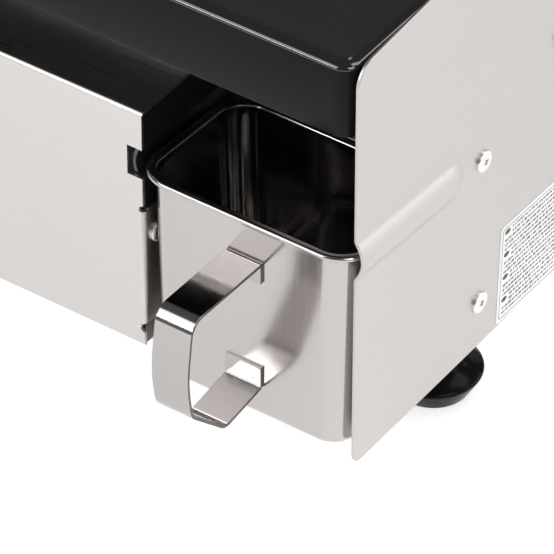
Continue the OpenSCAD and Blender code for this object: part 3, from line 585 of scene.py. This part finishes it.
SIDE_H = 206.0
SIDE_DEPTH = 400.0
SIDE_RISE = math.tan(math.radians(4.0))
RAIL_Z = 109.0
RAIL_SLOPE = math.radians(4.0)
RAIL_LEN = 68.0
RAIL_HALF = 9.5
RAIL_SOFT = 0.32
SIDE_CORNERS = (5.0, 5.0, 14.0, 10.0)     # lower front, lower rear, upper rear, upper front
EDGE_STEPS = (22.5, 45, 67.5, 90)         # degrees round a broken edge


def side_limits(y, inset):
    """Lower and upper edge of a side panel at depth y, with its corners rounded."""
    low_front, low_rear, high_rear, high_front = SIDE_CORNERS

    def lift(distance, radius):
        if distance >= radius:
            return 0.0
        return radius - math.sqrt(max(0.0, radius ** 2 - (radius - distance) ** 2))

    front, rear = max(y - inset, 0), max(SIDE_DEPTH - y - inset, 0)
    low = max(lift(front, low_front - inset), lift(rear, low_rear - inset))
    high = max(lift(front, high_front - inset), lift(rear, high_rear - inset))
    top = SIDE_H + y * SIDE_RISE
    return FOOT_H + low + inset, FOOT_H + top - high - inset


def rail_swell(y, z, rail_out):
    """How far the pressed rail pushes the sheet out at (y, z)."""
    rise = z - FOOT_H - RAIL_Z
    along = y * math.cos(RAIL_SLOPE) - rise * math.sin(RAIL_SLOPE)
    across = y * math.sin(RAIL_SLOPE) + rise * math.cos(RAIL_SLOPE)
    s = math.hypot(across, max(0.0, along - RAIL_LEN))
    f = rail_out * (1 - (s / RAIL_HALF) ** 2)
    return 0.5 * (f + math.sqrt(f * f + RAIL_SOFT)) - RAIL_SOFT / (4 * (abs(f) + 0.6)) * (s > RAIL_HALF)


def graded(stops):
    """Values that run from stop to stop; each stop is (value, step towards the next)."""
    values = []
    for (a, step), (b, _) in zip(stops, stops[1:]):
        count = max(1, round((b - a) / step))
        values += [a + (b - a) * i / count for i in range(count)]
    return values + [stops[-1][0]]


def side_sheet(name, side, rail_out, edge):
    """Side panel with rounded corners and edges; side is 1 for the right panel, -1 for the left."""
    if rail_out:
        columns = graded([(0, 0.25), (2, 0.6), (12, 1.6), (64, 0.8), (82, 8), (SIDE_DEPTH - 16, 0.8),
                          (SIDE_DEPTH, 1)])
        rows = graded([(0, 0.05), (0.41, 0.0045), (0.61, 0.05), (1, 1)])
    else:
        columns = graded([(0, 0.25), (2, 0.6), (12, 12), (SIDE_DEPTH - 16, 0.8), (SIDE_DEPTH, 1)])
        rows = graded([(0, 0.05), (1, 1)])
    nc, nr = len(columns), len(rows)

    def spot(i, j, inset, depth):
        y = min(max(columns[i], inset), SIDE_DEPTH - inset)
        low, high = side_limits(y, inset)
        z = low + (high - low) * rows[j]
        swell = rail_swell(y, z, rail_out) if rail_out else 0.0
        return (side * (OUT_X - depth + swell), y, z)

    points = [spot(i, j, edge, 0.0) for i in range(nc) for j in range(nr)]
    faces = [(i * nr + j, (i + 1) * nr + j, (i + 1) * nr + j + 1, i * nr + j + 1)
             for i in range(nc - 1) for j in range(nr - 1)]
    loop = ([(i, 0) for i in range(nc)] + [(nc - 1, j) for j in range(1, nr)]
            + [(i, nr - 1) for i in range(nc - 2, -1, -1)] + [(0, j) for j in range(nr - 2, 0, -1)])
    previous = [i * nr + j for i, j in loop]
    steps = [(edge * (1 - math.sin(a)), edge * (1 - math.cos(a)))
             for a in [math.radians(d) for d in EDGE_STEPS]]
    steps += [(inset, SHEET - depth) for inset, depth in reversed(steps)]
    for inset, depth in steps:
        current = []
        for i, j in loop:
            current.append(len(points))
            points.append(spot(i, j, inset, depth))
        for k in range(len(loop)):
            n = (k + 1) % len(loop)
            faces.append((previous[k], previous[n], current[n], current[k]))
        previous = current
    start = len(points)
    points += [spot(i, j, edge, SHEET) for i in range(nc) for j in range(nr)]
    faces += [(start + i * nr + j, start + (i + 1) * nr + j, start + (i + 1) * nr + j + 1,
               start + i * nr + j + 1) for i in range(nc - 1) for j in range(nr - 1)]
    for k in range(len(loop)):
        n = (k + 1) % len(loop)
        i, j = loop[k]
        p, q = loop[n]
        faces.append((previous[k], previous[n], start + p * nr + q, start + i * nr + j))
    return mesh_piece(name, points, faces, 50.0)


class GRIDDLE_OT_sides(bpy.types.Operator):
    """Makes the two side panels, the right one with its pressed rail"""

    bl_idname = "griddle.sides"
    bl_label = "Side panels"

    def execute(self, context):
        sizes = context.scene.griddle_sizes
        edge = sizes.edge / MM
        right = side_sheet("side_panel_right_sheet", 1, sizes.rail_out / MM, edge)
        # Both side panels take the slightly darker painted-shade copy of the sheet steel.
        place(right, "side_panel_right", "side_steel", "steel_sheet")
        left = side_sheet("side_panel_left_sheet", -1, 0.0, edge)
        place(left, "side_panel_left", "side_steel", "steel_sheet")
        return {"FINISHED"}


# The bay partition takes the near-black painted-shade sheet.
HOUSING_SHEETS = (
    ("front_panel", "front_steel", "steel_sheet"), ("bay_partition", "inner_steel", "steel_inner"),
    ("bay_back_wall", "wall_steel", "steel_inner"), ("back_panel", "front_steel", "steel_sheet"),
    ("splash_guard", "front_steel", "steel_sheet"), ("base_pan", "zinc_sheet", "zinc_sheet"))


class GRIDDLE_OT_housing(bpy.types.Operator):
    """Makes the front, back, bay and base sheets"""

    bl_idname = "griddle.housing"
    bl_label = "Housing sheets"

    def execute(self, context):
        edge = context.scene.griddle_sizes.edge
        for node, finish, slot in HOUSING_SHEETS:
            dressed(node, node + "_sheet", finish, slot, edge)
        return {"FINISHED"}


# ---------------------------------------------------------------- plate

PLATE_MARGIN = 30.0
CHANNEL_Y = 56.0
CHANNEL_DEPTH = 4.0
DRAIN_R = 11.0
SKIRT_T = 5.0
PLATE_T = 8.0
BAND_W = 3.4
BAND_DROP = 0.7
PLATE_CORNER = 8.5
HOLE_FLARE = 0.8                          # rounding where a recess meets the plate's top
FLAT_UP = 0.995                           # a face this near to level is part of the cooking surface


class GRIDDLE_OT_plate(bpy.types.Operator):
    """Makes the pressed black cooking plate with its grease channel and drain hole"""

    bl_idname = "griddle.plate"
    bl_label = "Cooking plate"

    def execute(self, context):
        low, high = body_box("griddle_plate")
        edge = context.scene.griddle_sizes.plate_edge / MM
        half_x, half_y = (high.x - low.x) / 2, (high.y - low.y) / 2
        mid_y = (high.y + low.y) / 2

        def loop(inset, z):
            r = max(PLATE_CORNER - inset, 0.6)
            return [(x, mid_y + y, z) for x, y in ring(half_x - inset, half_y - inset, r, 12, 8)]

        top = high.z
        turns = [math.radians(a) for a in range(0, 71, 10)]
        rounding = [(edge * (1 - math.cos(a)), top - BAND_DROP - edge * (1 - math.sin(a)))
                    for a in turns]
        end = rounding[-1]
        inner_top = top - PLATE_T
        outline = [(SKIRT_T, inner_top - 1.0), (SKIRT_T, low.z + 1.0), (SKIRT_T - 1.0, low.z),
                   (1.2, low.z), (0.35, low.z + 0.35), (0.0, low.z + 1.2)]
        outline += rounding
        outline += [(end[0] + BAND_W * 0.5, end[1] + BAND_DROP * 0.42),
                    (end[0] + BAND_W, top - 0.18), (end[0] + BAND_W + 0.35, top - 0.03),
                    (end[0] + BAND_W + 0.9, top)]
        rings = [loop(SKIRT_T + 1.0, inner_top)] + [loop(inset, z) for inset, z in outline]
        points, faces = lofted(rings)
        plate = mesh_piece("griddle_plate_casting", points, faces, 40.0)
        bay_mid = (body_box("drain_spout")[0].x + body_box("drain_spout")[1].x) / 2
        flare = HOLE_FLARE

        def cutter(name, half_w, half_d, r, x0, z0):
            """Pattern of a rounded recess that widens at the plate's top."""
            loops = []
            for inset, z in ((0.0, z0), (0.0, top - flare), (-flare * 0.3, top - flare * 0.3),
                             (-flare, top), (-flare - 1, top + 1)):
                loops.append([(x0 + x, CHANNEL_Y + y, z)
                              for x, y in ring(half_w - inset, half_d - inset, r - inset, 16, 3)])
            points, faces = lofted(loops)
            return mesh_piece(name, points, faces)

        channel = cutter("Channel pattern", half_x - PLATE_MARGIN, DRAIN_R, DRAIN_R - 0.6, 0.0,
                         top - CHANNEL_DEPTH)
        drain = cutter("Drain pattern", DRAIN_R - 0.4, DRAIN_R - 0.4, DRAIN_R - 0.6, bay_mid, top - 20)
        for cut in (channel, drain):
            boolean = plate.modifiers.new("Recess", "BOOLEAN")
            boolean.operation = "DIFFERENCE"
            boolean.solver = "EXACT"
            boolean.object = cut
        applied(plate)
        drop(channel, drain)
        smooth(plate.data, 35.0)
        place(plate, "griddle_plate", "plate_black", "plate_black")
        plate.data.materials.append(finishes["plate_skirt"])
        plate.data.materials.append(finishes["plate_rim"])
        # Faces under the cooking surface, or facing sideways or down, take the painted-shade skirt finish;
        # the rounded rim between skirt and top takes the painted-shade rim finish.
        surface = at_body((0, 0, top - CHANNEL_DEPTH - 1)).z
        for face in plate.data.polygons:
            if face.center.z < surface or face.normal.z < 0.1:
                face.material_index = 1
            elif face.normal.z < FLAT_UP:
                face.material_index = 2
        dressed("drain_spout", "drain_spout_tube", "wall_steel", "steel_inner", 0.3 * MM)
        return {"FINISHED"}


# ---------------------------------------------------------------- grease container

POT_W = 102.6
RIM_W = 110.2
RIM_D = 76.0
POT_R = 13.5
POT_DRAFT = 2.3
POT_T = 1.0
BASE_R = 4.2
INNER_RINGS = 13                          # rings of the loft that line the inside
WELD_HEIGHTS = (83.0, 26.6)               # above the body's underside
WELD_OFFSETS = (-4.4, 4.6)                # from the middle of the strap


class GRIDDLE_OT_container(bpy.types.Operator):
    """Makes the drawn container with its rolled rim, and the spot-welded strap handle"""

    bl_idname = "griddle.container"
    bl_label = "Grease container"

    def execute(self, context):
        low, high = body_box("grease_container")
        bead = context.scene.griddle_sizes.bead / MM
        lip = (RIM_W - POT_W) / 2
        mid_x = (low.x + high.x) / 2
        rim_y = low.y
        mid_y = rim_y + RIM_D / 2
        rise = math.tan(RAIL_SLOPE)
        rim_z = high.z - bead
        base_z = low.z
        wall_h = rim_z - base_z

        def loop(out, z, tilt, radius=None):
            """Ring out beyond the outer wall; tilt 1 follows the sloping rim, 0 lies level."""
            lean = POT_DRAFT * (1 - tilt)
            r = POT_R + out if radius is None else radius
            return [(mid_x + x, mid_y + y,
                     z - tilt * rise * (mid_y + y - rim_y))
                    for x, y in ring(POT_W / 2 + out - lean, (RIM_D - 2 * lip) / 2 + out, r)]

        rings = [loop(-BASE_R - 1.5, base_z + 0.25, 0, POT_R - 6), loop(-BASE_R, base_z, 0)]
        for a in range(15, 91, 15):
            t = math.radians(a)
            rings.append(loop(-BASE_R * (1 - math.sin(t)), base_z + BASE_R * (1 - math.cos(t)), 0))
        for share in (0.12, 0.25, 0.5, 0.75, 0.9, 0.96):
            rings.append(loop(0, base_z + BASE_R + (wall_h - BASE_R) * share, share))
        half = bead / 2
        reach = lip - half
        for out, z in [(0.0, -1.6), (0.12, -0.8), (0.4, -0.25), (0.95, -0.02), (reach, 0.0)]:
            rings.append(loop(out, rim_z + z, 1))
        for x, z in arc(reach, half, half, -70, 110, 9):
            rings.append(loop(x, rim_z + z, 1))
        for out, z in [(reach - 0.9, bead - 0.28), (0.9, bead - 0.5), (0.1, bead - 0.55),
                       (-0.45, bead - 0.8), (-0.85, bead - 1.3), (-POT_T, bead - 2.1)]:
            rings.append(loop(out, rim_z + z, 1))
        floor_z = base_z + POT_T
        for share in (0.96, 0.75, 0.5, 0.25, 0.1):
            rings.append(loop(-POT_T, floor_z + BASE_R + (wall_h - BASE_R - POT_T) * share, share))
        for a in range(90, 0, -15):
            t = math.radians(a)
            rings.append(loop(-POT_T - BASE_R * (1 - math.sin(t)),
                              floor_z + BASE_R * (1 - math.cos(t)), 0))
        rings.append(loop(-POT_T - BASE_R, floor_z, 0))
        points, faces = lofted(rings)
        pot = mesh_piece("grease_container_pot", points, faces, 60.0)
        place(pot, "grease_container", "drawn_steel", "steel_drawn")
        pot.data.materials.append(finishes["pot_inside"])
        inner = range(len(rings) - INNER_RINGS, len(rings))
        count = len(rings[0])
        last = len(pot.data.polygons) - 1
        for face in pot.data.polygons:
            inside = face.index // count in inner or face.index == last
            face.material_index = 1 if inside else 0
        strap = dressed("container_handle", "container_handle_strap", "strap_steel", "steel_drawn",
                        0.2 * MM, 3)
        # The strap's side faces, across its width, take the near-black painted-shade finish.
        strap.data.materials.append(finishes["cut_edge"])
        for face in strap.data.polygons:
            face.material_index = 1 if abs(face.normal.x) > 0.9 else 0

        hlow, hhigh = body_box("container_handle")
        strap_x = (hlow.x + hhigh.x) / 2
        profile = [(0.0, 0.0), (0.8, 0.0), (1.05, 0.035), (1.25, 0.015), (1.4, -0.12), (0.0, -0.12)]
        points, faces = revolved(profile, (0, 0, 0), "Z", 24)
        mark = master_piece("Weld pattern", points, faces)
        front = hhigh.y - SHEET
        places = screw_places([(0, (strap_x + dx, front, FOOT_H + z))
                               for dx in WELD_OFFSETS for z in WELD_HEIGHTS], "Y", -1)
        welds = copies("handle_spot_welds", mark, places, "weld")
        place(welds, "container_handle", None, "steel_drawn", stands_for=False)
        drop(mark)
        return {"FINISHED"}


# ---------------------------------------------------------------- screws and label

SCREW_HEAD_H = 1.7
SIDE_HOLES_RIGHT = ((93, 24.4), (93, 100.5), (151, 128.3), (345, 24.4), (345, 128.3))
SIDE_HOLES_LEFT = ((24, 24.4), (24, 100.5), (93, 24.4), (151, 128.3), (345, 24.4), (345, 128.3))


class GRIDDLE_OT_screws(bpy.types.Operator):
    """Places the pan-head screws of the housing"""

    bl_idname = "griddle.screws"
    bl_label = "Screws"

    def execute(self, context):
        radius = context.scene.griddle_sizes.screw_head / MM
        head = screw_master(radius, SCREW_HEAD_H)
        right = [(12 + y, (OUT_X, y, FOOT_H + z)) for y, z in SIDE_HOLES_RIGHT]
        left = [(30 + y, (-OUT_X, y, FOOT_H + z)) for y, z in SIDE_HOLES_LEFT]
        sides = screw_places(right, "X", 1) + screw_places(left, "X", -1)
        front_x = body_box("front_panel")[1].x
        bay = screw_places([(20, (front_x, 10.2, FOOT_H + 70)),
                            (40, (front_x - SHEET, 60, FOOT_H + 24.4))], "X", 1)
        back_y = body_box("back_panel")[1].y
        base = screw_places([(x, (x, back_y, FOOT_H + 20)) for x in (-240, 0, 240)], "Y", 1)
        back = screw_places([(x + 15, (x, back_y, FOOT_H + 172)) for x in (-230, 0, 230)], "Y", 1)
        for kind, places in (("side", sides), ("bay", bay), ("base", base), ("back", back)):
            heads = copies(kind + "_screw_heads", head, places, "screw_bright")
            place(heads, kind + "_screws", None, "screw_bright")
        drop(head)
        return {"FINISHED"}


LABEL_W, LABEL_H, LABEL_T = 86.0, 51.5, 0.25
LABEL_CORNER = (109.0, 53.0)
LABEL_TURN = math.radians(-2.0)


def on_label(u, v, lift=0.0):
    """Point u to the right of and v below the label's upper left corner."""
    c, s = math.cos(LABEL_TURN), math.sin(LABEL_TURN)
    return (OUT_X + LABEL_T + lift, LABEL_CORNER[0] + u * c + v * s,
            FOOT_H + LABEL_CORNER[1] + u * s - v * c)


class GRIDDLE_OT_label(bpy.types.Operator):
    """Makes the plain label with its frame, grey bars and dark ovals"""

    bl_idname = "griddle.label"
    bl_label = "Label"

    def execute(self, context):
        outline = ring(LABEL_W / 2, LABEL_H / 2, 2.0, 8, 2)
        loops = []
        for inset, lift in ((0.0, -LABEL_T), (0.0, -0.08), (0.08, 0.0)):
            k = 1 - inset / (LABEL_H / 2)
            loops.append([on_label(LABEL_W / 2 + x * k, LABEL_H / 2 - y * k, lift) for x, y in outline])
        points, faces = lofted(loops)
        film = mesh_piece("rating_label_film", points, faces)
        place(film, "rating_label", "label_white", "label_white")

        ink = 0.012
        turn = (LABEL_TURN, 0, 0)
        points, faces = box_points((-0.002, -0.5, -0.5), (0.012, 0.5, 0.5))
        bar = master_piece("Bar pattern", points, faces)
        draw = random.Random(7)
        rows = context.scene.griddle_sizes.print_rows
        bars, ovals = [], []
        pitch = (LABEL_H - 5.4) / rows
        for row in range(rows):
            v = 3.6 + pitch * row
            u = 9.0 if row % 5 < 2 else 3.6
            if row % 5 == 0:
                ovals.append((on_label(5.2, v + 0.5, ink), turn, (1, 1, 1)))
            while u < LABEL_W - 6:
                width = draw.uniform(0.5, 2.6)
                tall = draw.uniform(0.8, 1.35)
                bars.append((on_label(u + width / 2, v, ink), turn, (1, width, tall)))
                u += width + draw.uniform(0.4, 0.9)
        place(copies("label_bars", bar, bars, "label_ink"), "rating_label", None, "label_white", False)
        drop(bar)
        points, faces = revolved([(0, -0.002), (1, -0.002), (1, 0.014), (0, 0.014)], (0, 0, 0), "X", 28)
        points = [Vector((p.x, p.y * 2.1, p.z * 1.25)) for p in points]
        oval = master_piece("Oval pattern", points, faces)
        place(copies("label_ovals", oval, ovals, "label_dark"), "rating_label", None, "label_white", False)
        drop(oval)
        loops = []
        for inset, lift in ((1.5, -0.002), (1.5, 0.012), (1.9, 0.012), (1.9, -0.002)):
            frame_ring = ring(LABEL_W / 2 - inset, LABEL_H / 2 - inset, max(1.6 - (inset - 1.5), 0.5), 8, 2)
            loops.append([on_label(LABEL_W / 2 + x, LABEL_H / 2 - y, lift) for x, y in frame_ring])
        points, faces = lofted(loops + [loops[0]], False)
        border = mesh_piece("label_border", points, faces)
        place(border, "rating_label", "label_ink", "label_white", False)
        return {"FINISHED"}


# ---------------------------------------------------------------- feet

FOOT_RADIUS, FOOT_RIM, FOOT_RING_Z, FOOT_TOP = 17.0, 22.0, 11.0, 19.0


class GRIDDLE_OT_feet(bpy.types.Operator):
    """Makes the four rubber feet, their stems and nuts"""

    bl_idname = "griddle.feet"
    bl_label = "Feet"

    def execute(self, context):
        for corner in ("front_left", "front_right", "rear_left", "rear_right"):
            low, high = body_box("foot_" + corner)
            centre = ((low.x + high.x) / 2, (low.y + high.y) / 2, 0.0)
            profile = [(0.0, 0.6), (9.0, 0.6), (10.0, 0.0), (FOOT_RADIUS - 1.2, 0.0)]
            profile += arc(FOOT_RADIUS - 1.2, 1.2, 1.2, -70, -20, 4)
            profile += arc(FOOT_RIM - 1.6, FOOT_RING_Z - 0.6, 1.6, -25, 55, 6)
            profile += [(19.0, 13.2), (16.6, 14.6), (14.6, 16.0), (13.0, 17.3), (11.4, 18.2)]
            profile += [(9.6, 18.8), (8.0, FOOT_TOP), (4.1, FOOT_TOP), (4.0, FOOT_TOP - 0.4),
                        (4.0, 7.0), (0.0, 7.0)]
            points, faces = revolved(profile, centre, "Z", 72)
            foot = mesh_piece("foot_" + corner + "_pad", points, faces, 40.0)
            place(foot, "foot_" + corner, "foot_rubber", "foot_rubber")
            stem = "foot_stem_" + corner
            dressed(stem, stem + "_bolt", "zinc_steel", "zinc_steel", 0.3 * MM)
        dressed("foot_nuts", "foot_nuts_set", "zinc_steel", "zinc_steel", 0.3 * MM)
        return {"FINISHED"}


# ---------------------------------------------------------------- controls


# CAD node, kind of piece, finish, broken edge in millimetres, steps round that edge
CONTROL_PIECES = (
    ("control_knob", "moulding", "black_plastic", 0.7, 3),
    ("knob_pointer", "insert", "pointer_white", 0.1, 2),
    ("dial_plate", "disc", "dial_print", 0.15, 2), ("power_lamp", "lens", "lens_green", 0.9, 4),
    ("heating_lamp", "lens", "lens_amber", 0.9, 4),
    ("cable_gland", "moulding", "black_plastic", 0.6, 3),
    ("reset_button", "cap", "button_red", 0.5, 3), ("safety_cutout", "case", "phenolic", 0.4, 2),
    ("terminal_block", "body", "ceramic", 0.5, 2))


class GRIDDLE_OT_controls(bpy.types.Operator):
    """Makes the knob, its dial with plain marks, the lamps, the gland and the reset button"""

    bl_idname = "griddle.controls"
    bl_label = "Controls"

    def execute(self, context):
        for node, kind, finish, width, segments in CONTROL_PIECES:
            dressed(node, node + "_" + kind, finish, finish, width * MM, segments)
        dressed("thermostat_body", "thermostat_case", "phenolic", "phenolic", 0.4 * MM)
        low, high = body_box("dial_plate")
        cx, cz = (low.x + high.x) / 2, (low.z + high.z) / 2
        points, faces = box_points((-0.5, -0.02, -0.5), (0.5, 0.05, 0.5))
        mark = master_piece("Mark pattern", points, faces)
        marks = []
        for i in range(28):
            a = math.radians(90 - 10 * i)
            long = 4.6 if i % 3 == 0 else 2.6
            r = 34.5 - long / 2
            marks.append(((cx + r * math.cos(a), low.y, cz + r * math.sin(a)),
                          (0, math.pi / 2 - a, 0), (0.8 if i % 3 else 1.1, 1, long)))
        place(copies("dial_marks", mark, marks, "dial_ink"), "dial_plate", None, "dial_print", False)
        drop(mark)
        low, high = body_box("control_knob")
        points, faces = box_points((-0.35, -7.0, -0.5), (0.35, 7.0, 0.5))
        rib = master_piece("Rib pattern", points, faces)
        ribs = []
        for i in range(36):
            a = math.radians(10 * i + 5)
            if abs(math.cos(a)) < 0.28:
                continue
            ribs.append(((cx + 20.0 * math.cos(a), low.y + 13.0, cz + 20.0 * math.sin(a)),
                         (0, math.pi / 2 - a, 0), (1, 1, 1)))
        place(copies("knob_ribs", rib, ribs, "black_plastic"), "control_knob", None, "black_plastic", False)
        drop(rib)
        return {"FINISHED"}


INNER_NODES = {
    "tray_brackets": "zinc_sheet", "heating_element_front": "heater_tube",
    "heating_element_rear": "heater_tube", "element_clamps": "wall_steel", "plate_studs": "zinc_steel",
    "plate_nuts": "zinc_steel", "insulation_blanket": "mineral_wool", "heat_shield": "zinc_sheet",
    "thermostat_bulb": "copper_tube", "thermostat_capillary": "copper_tube",
    "thermostat_screws": "screw_bright", "cutout_bulb": "copper_tube", "cutout_capillary": "copper_tube",
    "lamp_bodies": "black_plastic", "thermostat_shaft": "zinc_steel", "internal_wiring": "wire_cover",
    "gland_nut": "black_plastic", "earth_stud": "brass",
}


class GRIDDLE_OT_inside(bpy.types.Operator):
    """Gives the parts inside the housing their finishes"""

    bl_idname = "griddle.inside"
    bl_label = "Inner parts"

    def execute(self, context):
        for node, finish in INNER_NODES.items():
            plain_node(node, finish)
        return {"FINISHED"}


# ---------------------------------------------------------------- stage

VIEW_AZIMUTH = math.radians(34.711)
VIEW_ELEVATION = math.radians(39.853)
VIEW_ROLL = math.radians(0.118)
VIEW_DISTANCE = 2354.02
VIEW_SIDE, VIEW_UP = 31.776, -78.046
VIEW_LENS = 369.87
FLOOR_REACH = 9.0
FLOOR_GLOW = 0.57
SKY_LEVEL = 0.12


def view_axes():
    """Right, up and back of the camera."""
    az, el = VIEW_AZIMUTH, VIEW_ELEVATION
    right = Vector((math.cos(az), math.sin(az), 0))
    back = Vector((math.sin(az) * math.cos(el), -math.cos(az) * math.cos(el), math.sin(el)))
    up = back.cross(right)
    c, s = math.cos(VIEW_ROLL), math.sin(VIEW_ROLL)
    return c * right + s * up, c * up - s * right, back


def softbox(name, direction, distance, size, power):
    """Soft light in a direction from the container's corner, facing it; size in metres."""
    target = at_body((220, 0, FOOT_H + 100))
    data = bpy.data.lights.new(name, "AREA")
    data.shape = "RECTANGLE"
    data.size, data.size_y = size
    data.energy = power
    lamp = bpy.data.objects.new(name, data)
    lamp.location = target + Vector(direction).normalized() * distance
    lamp.rotation_mode = "QUATERNION"
    lamp.rotation_quaternion = Vector(direction).to_track_quat("Z", "Y")
    bpy.context.scene.collection.objects.link(lamp)
    return lamp


class GRIDDLE_OT_stage(bpy.types.Operator):
    """Makes the floor, the lights, the world and the camera"""

    bl_idname = "griddle.stage"
    bl_label = "Stage"

    def execute(self, context):
        scene = context.scene
        mesh = bpy.data.meshes.new("floor")
        reach = FLOOR_REACH
        mesh.from_pydata([(-reach, -reach, 0), (reach, -reach, 0), (reach, reach, 0), (-reach, reach, 0)],
                         [], [(0, 1, 2, 3)])
        material, _, shader = new_material("Floor")
        colour = tuple(scene.griddle_colours.floor)
        shader.inputs["Base Color"].default_value = (*colour, 1)
        shader.inputs["Roughness"].default_value = 0.9
        shader.inputs["Specular IOR Level"].default_value = 0.0
        shader.inputs["Emission Color"].default_value = (1, 0.995, 0.99, 1)
        shader.inputs["Emission Strength"].default_value = FLOOR_GLOW
        mesh.materials.append(material)
        floor = link("floor", mesh)

        world = bpy.data.worlds.new("Studio")
        scene.world = world
        world.use_nodes = True
        sky = world.node_tree.nodes["Background"]
        sky.inputs["Color"].default_value = (1, 0.99, 0.985, 1)
        sky.inputs["Strength"].default_value = SKY_LEVEL

        softbox("Key", (-0.437, -0.60, 0.64), 2.2, (1.6, 1.15), 13.5)
        softbox("Strip", (-0.437, -0.86, 0.40), 2.2, (1.4, 0.2), 12.0)
        softbox("Right", (0.9, -0.30, 0.75), 2.4, (1.2, 1.2), 17)
        softbox("Back", (0.77, 0.63, 0.24), 2.6, (2.4, 1.25), 20)
        softbox("Top", (0.35, 0.55, 1.0), 2.4, (1.5, 1.3), 15)

        right, up, back = view_axes()
        corner = at_body((OUT_X, 0, FOOT_H))
        data = bpy.data.cameras.new("Camera")
        data.sensor_width = 36.0
        data.lens = VIEW_LENS
        data.clip_start, data.clip_end = 0.05, 60.0
        camera = bpy.data.objects.new("Camera", data)
        camera.location = corner + (back * VIEW_DISTANCE - right * VIEW_SIDE - up * VIEW_UP) * MM
        camera.rotation_mode = "QUATERNION"
        camera.rotation_quaternion = Matrix((right, up, back)).transposed().to_quaternion()
        scene.collection.objects.link(camera)
        scene.camera = camera
        scene.view_settings.view_transform = "Standard"
        return {"FINISHED"}


class GRIDDLE_PT_panel(bpy.types.Panel):
    """Sizes, colours and steps of the griddle"""

    bl_label = "Griddle"
    bl_idname = "GRIDDLE_PT_panel"
    bl_space_type = "VIEW_3D"
    bl_region_type = "UI"
    bl_category = "Griddle"

    def draw(self, context):
        layout = self.layout
        for group in (context.scene.griddle_sizes, context.scene.griddle_colours):
            for key in group.__annotations__:
                layout.prop(group, key)
        for step in STEPS:
            layout.operator(step.bl_idname)


STEPS = (GRIDDLE_OT_sides, GRIDDLE_OT_housing, GRIDDLE_OT_plate, GRIDDLE_OT_container,
         GRIDDLE_OT_screws, GRIDDLE_OT_label, GRIDDLE_OT_feet, GRIDDLE_OT_controls,
         GRIDDLE_OT_inside, GRIDDLE_OT_stage)
CLASSES = (GriddleSizes, GriddleColours, *STEPS, GRIDDLE_PT_panel)


def register():
    for cls in CLASSES:
        bpy.utils.register_class(cls)
    bpy.types.Scene.griddle_sizes = PointerProperty(type=GriddleSizes)
    bpy.types.Scene.griddle_colours = PointerProperty(type=GriddleColours)


def unregister():
    del bpy.types.Scene.griddle_colours
    del bpy.types.Scene.griddle_sizes
    for cls in reversed(CLASSES):
        bpy.utils.unregister_class(cls)


def main():
    register()
    make_finishes(bpy.context.scene.griddle_colours)
    for step in STEPS:
        space, call = step.bl_idname.split(".")
        getattr(getattr(bpy.ops, space), call)()


if __name__ == "__main__":
    main()
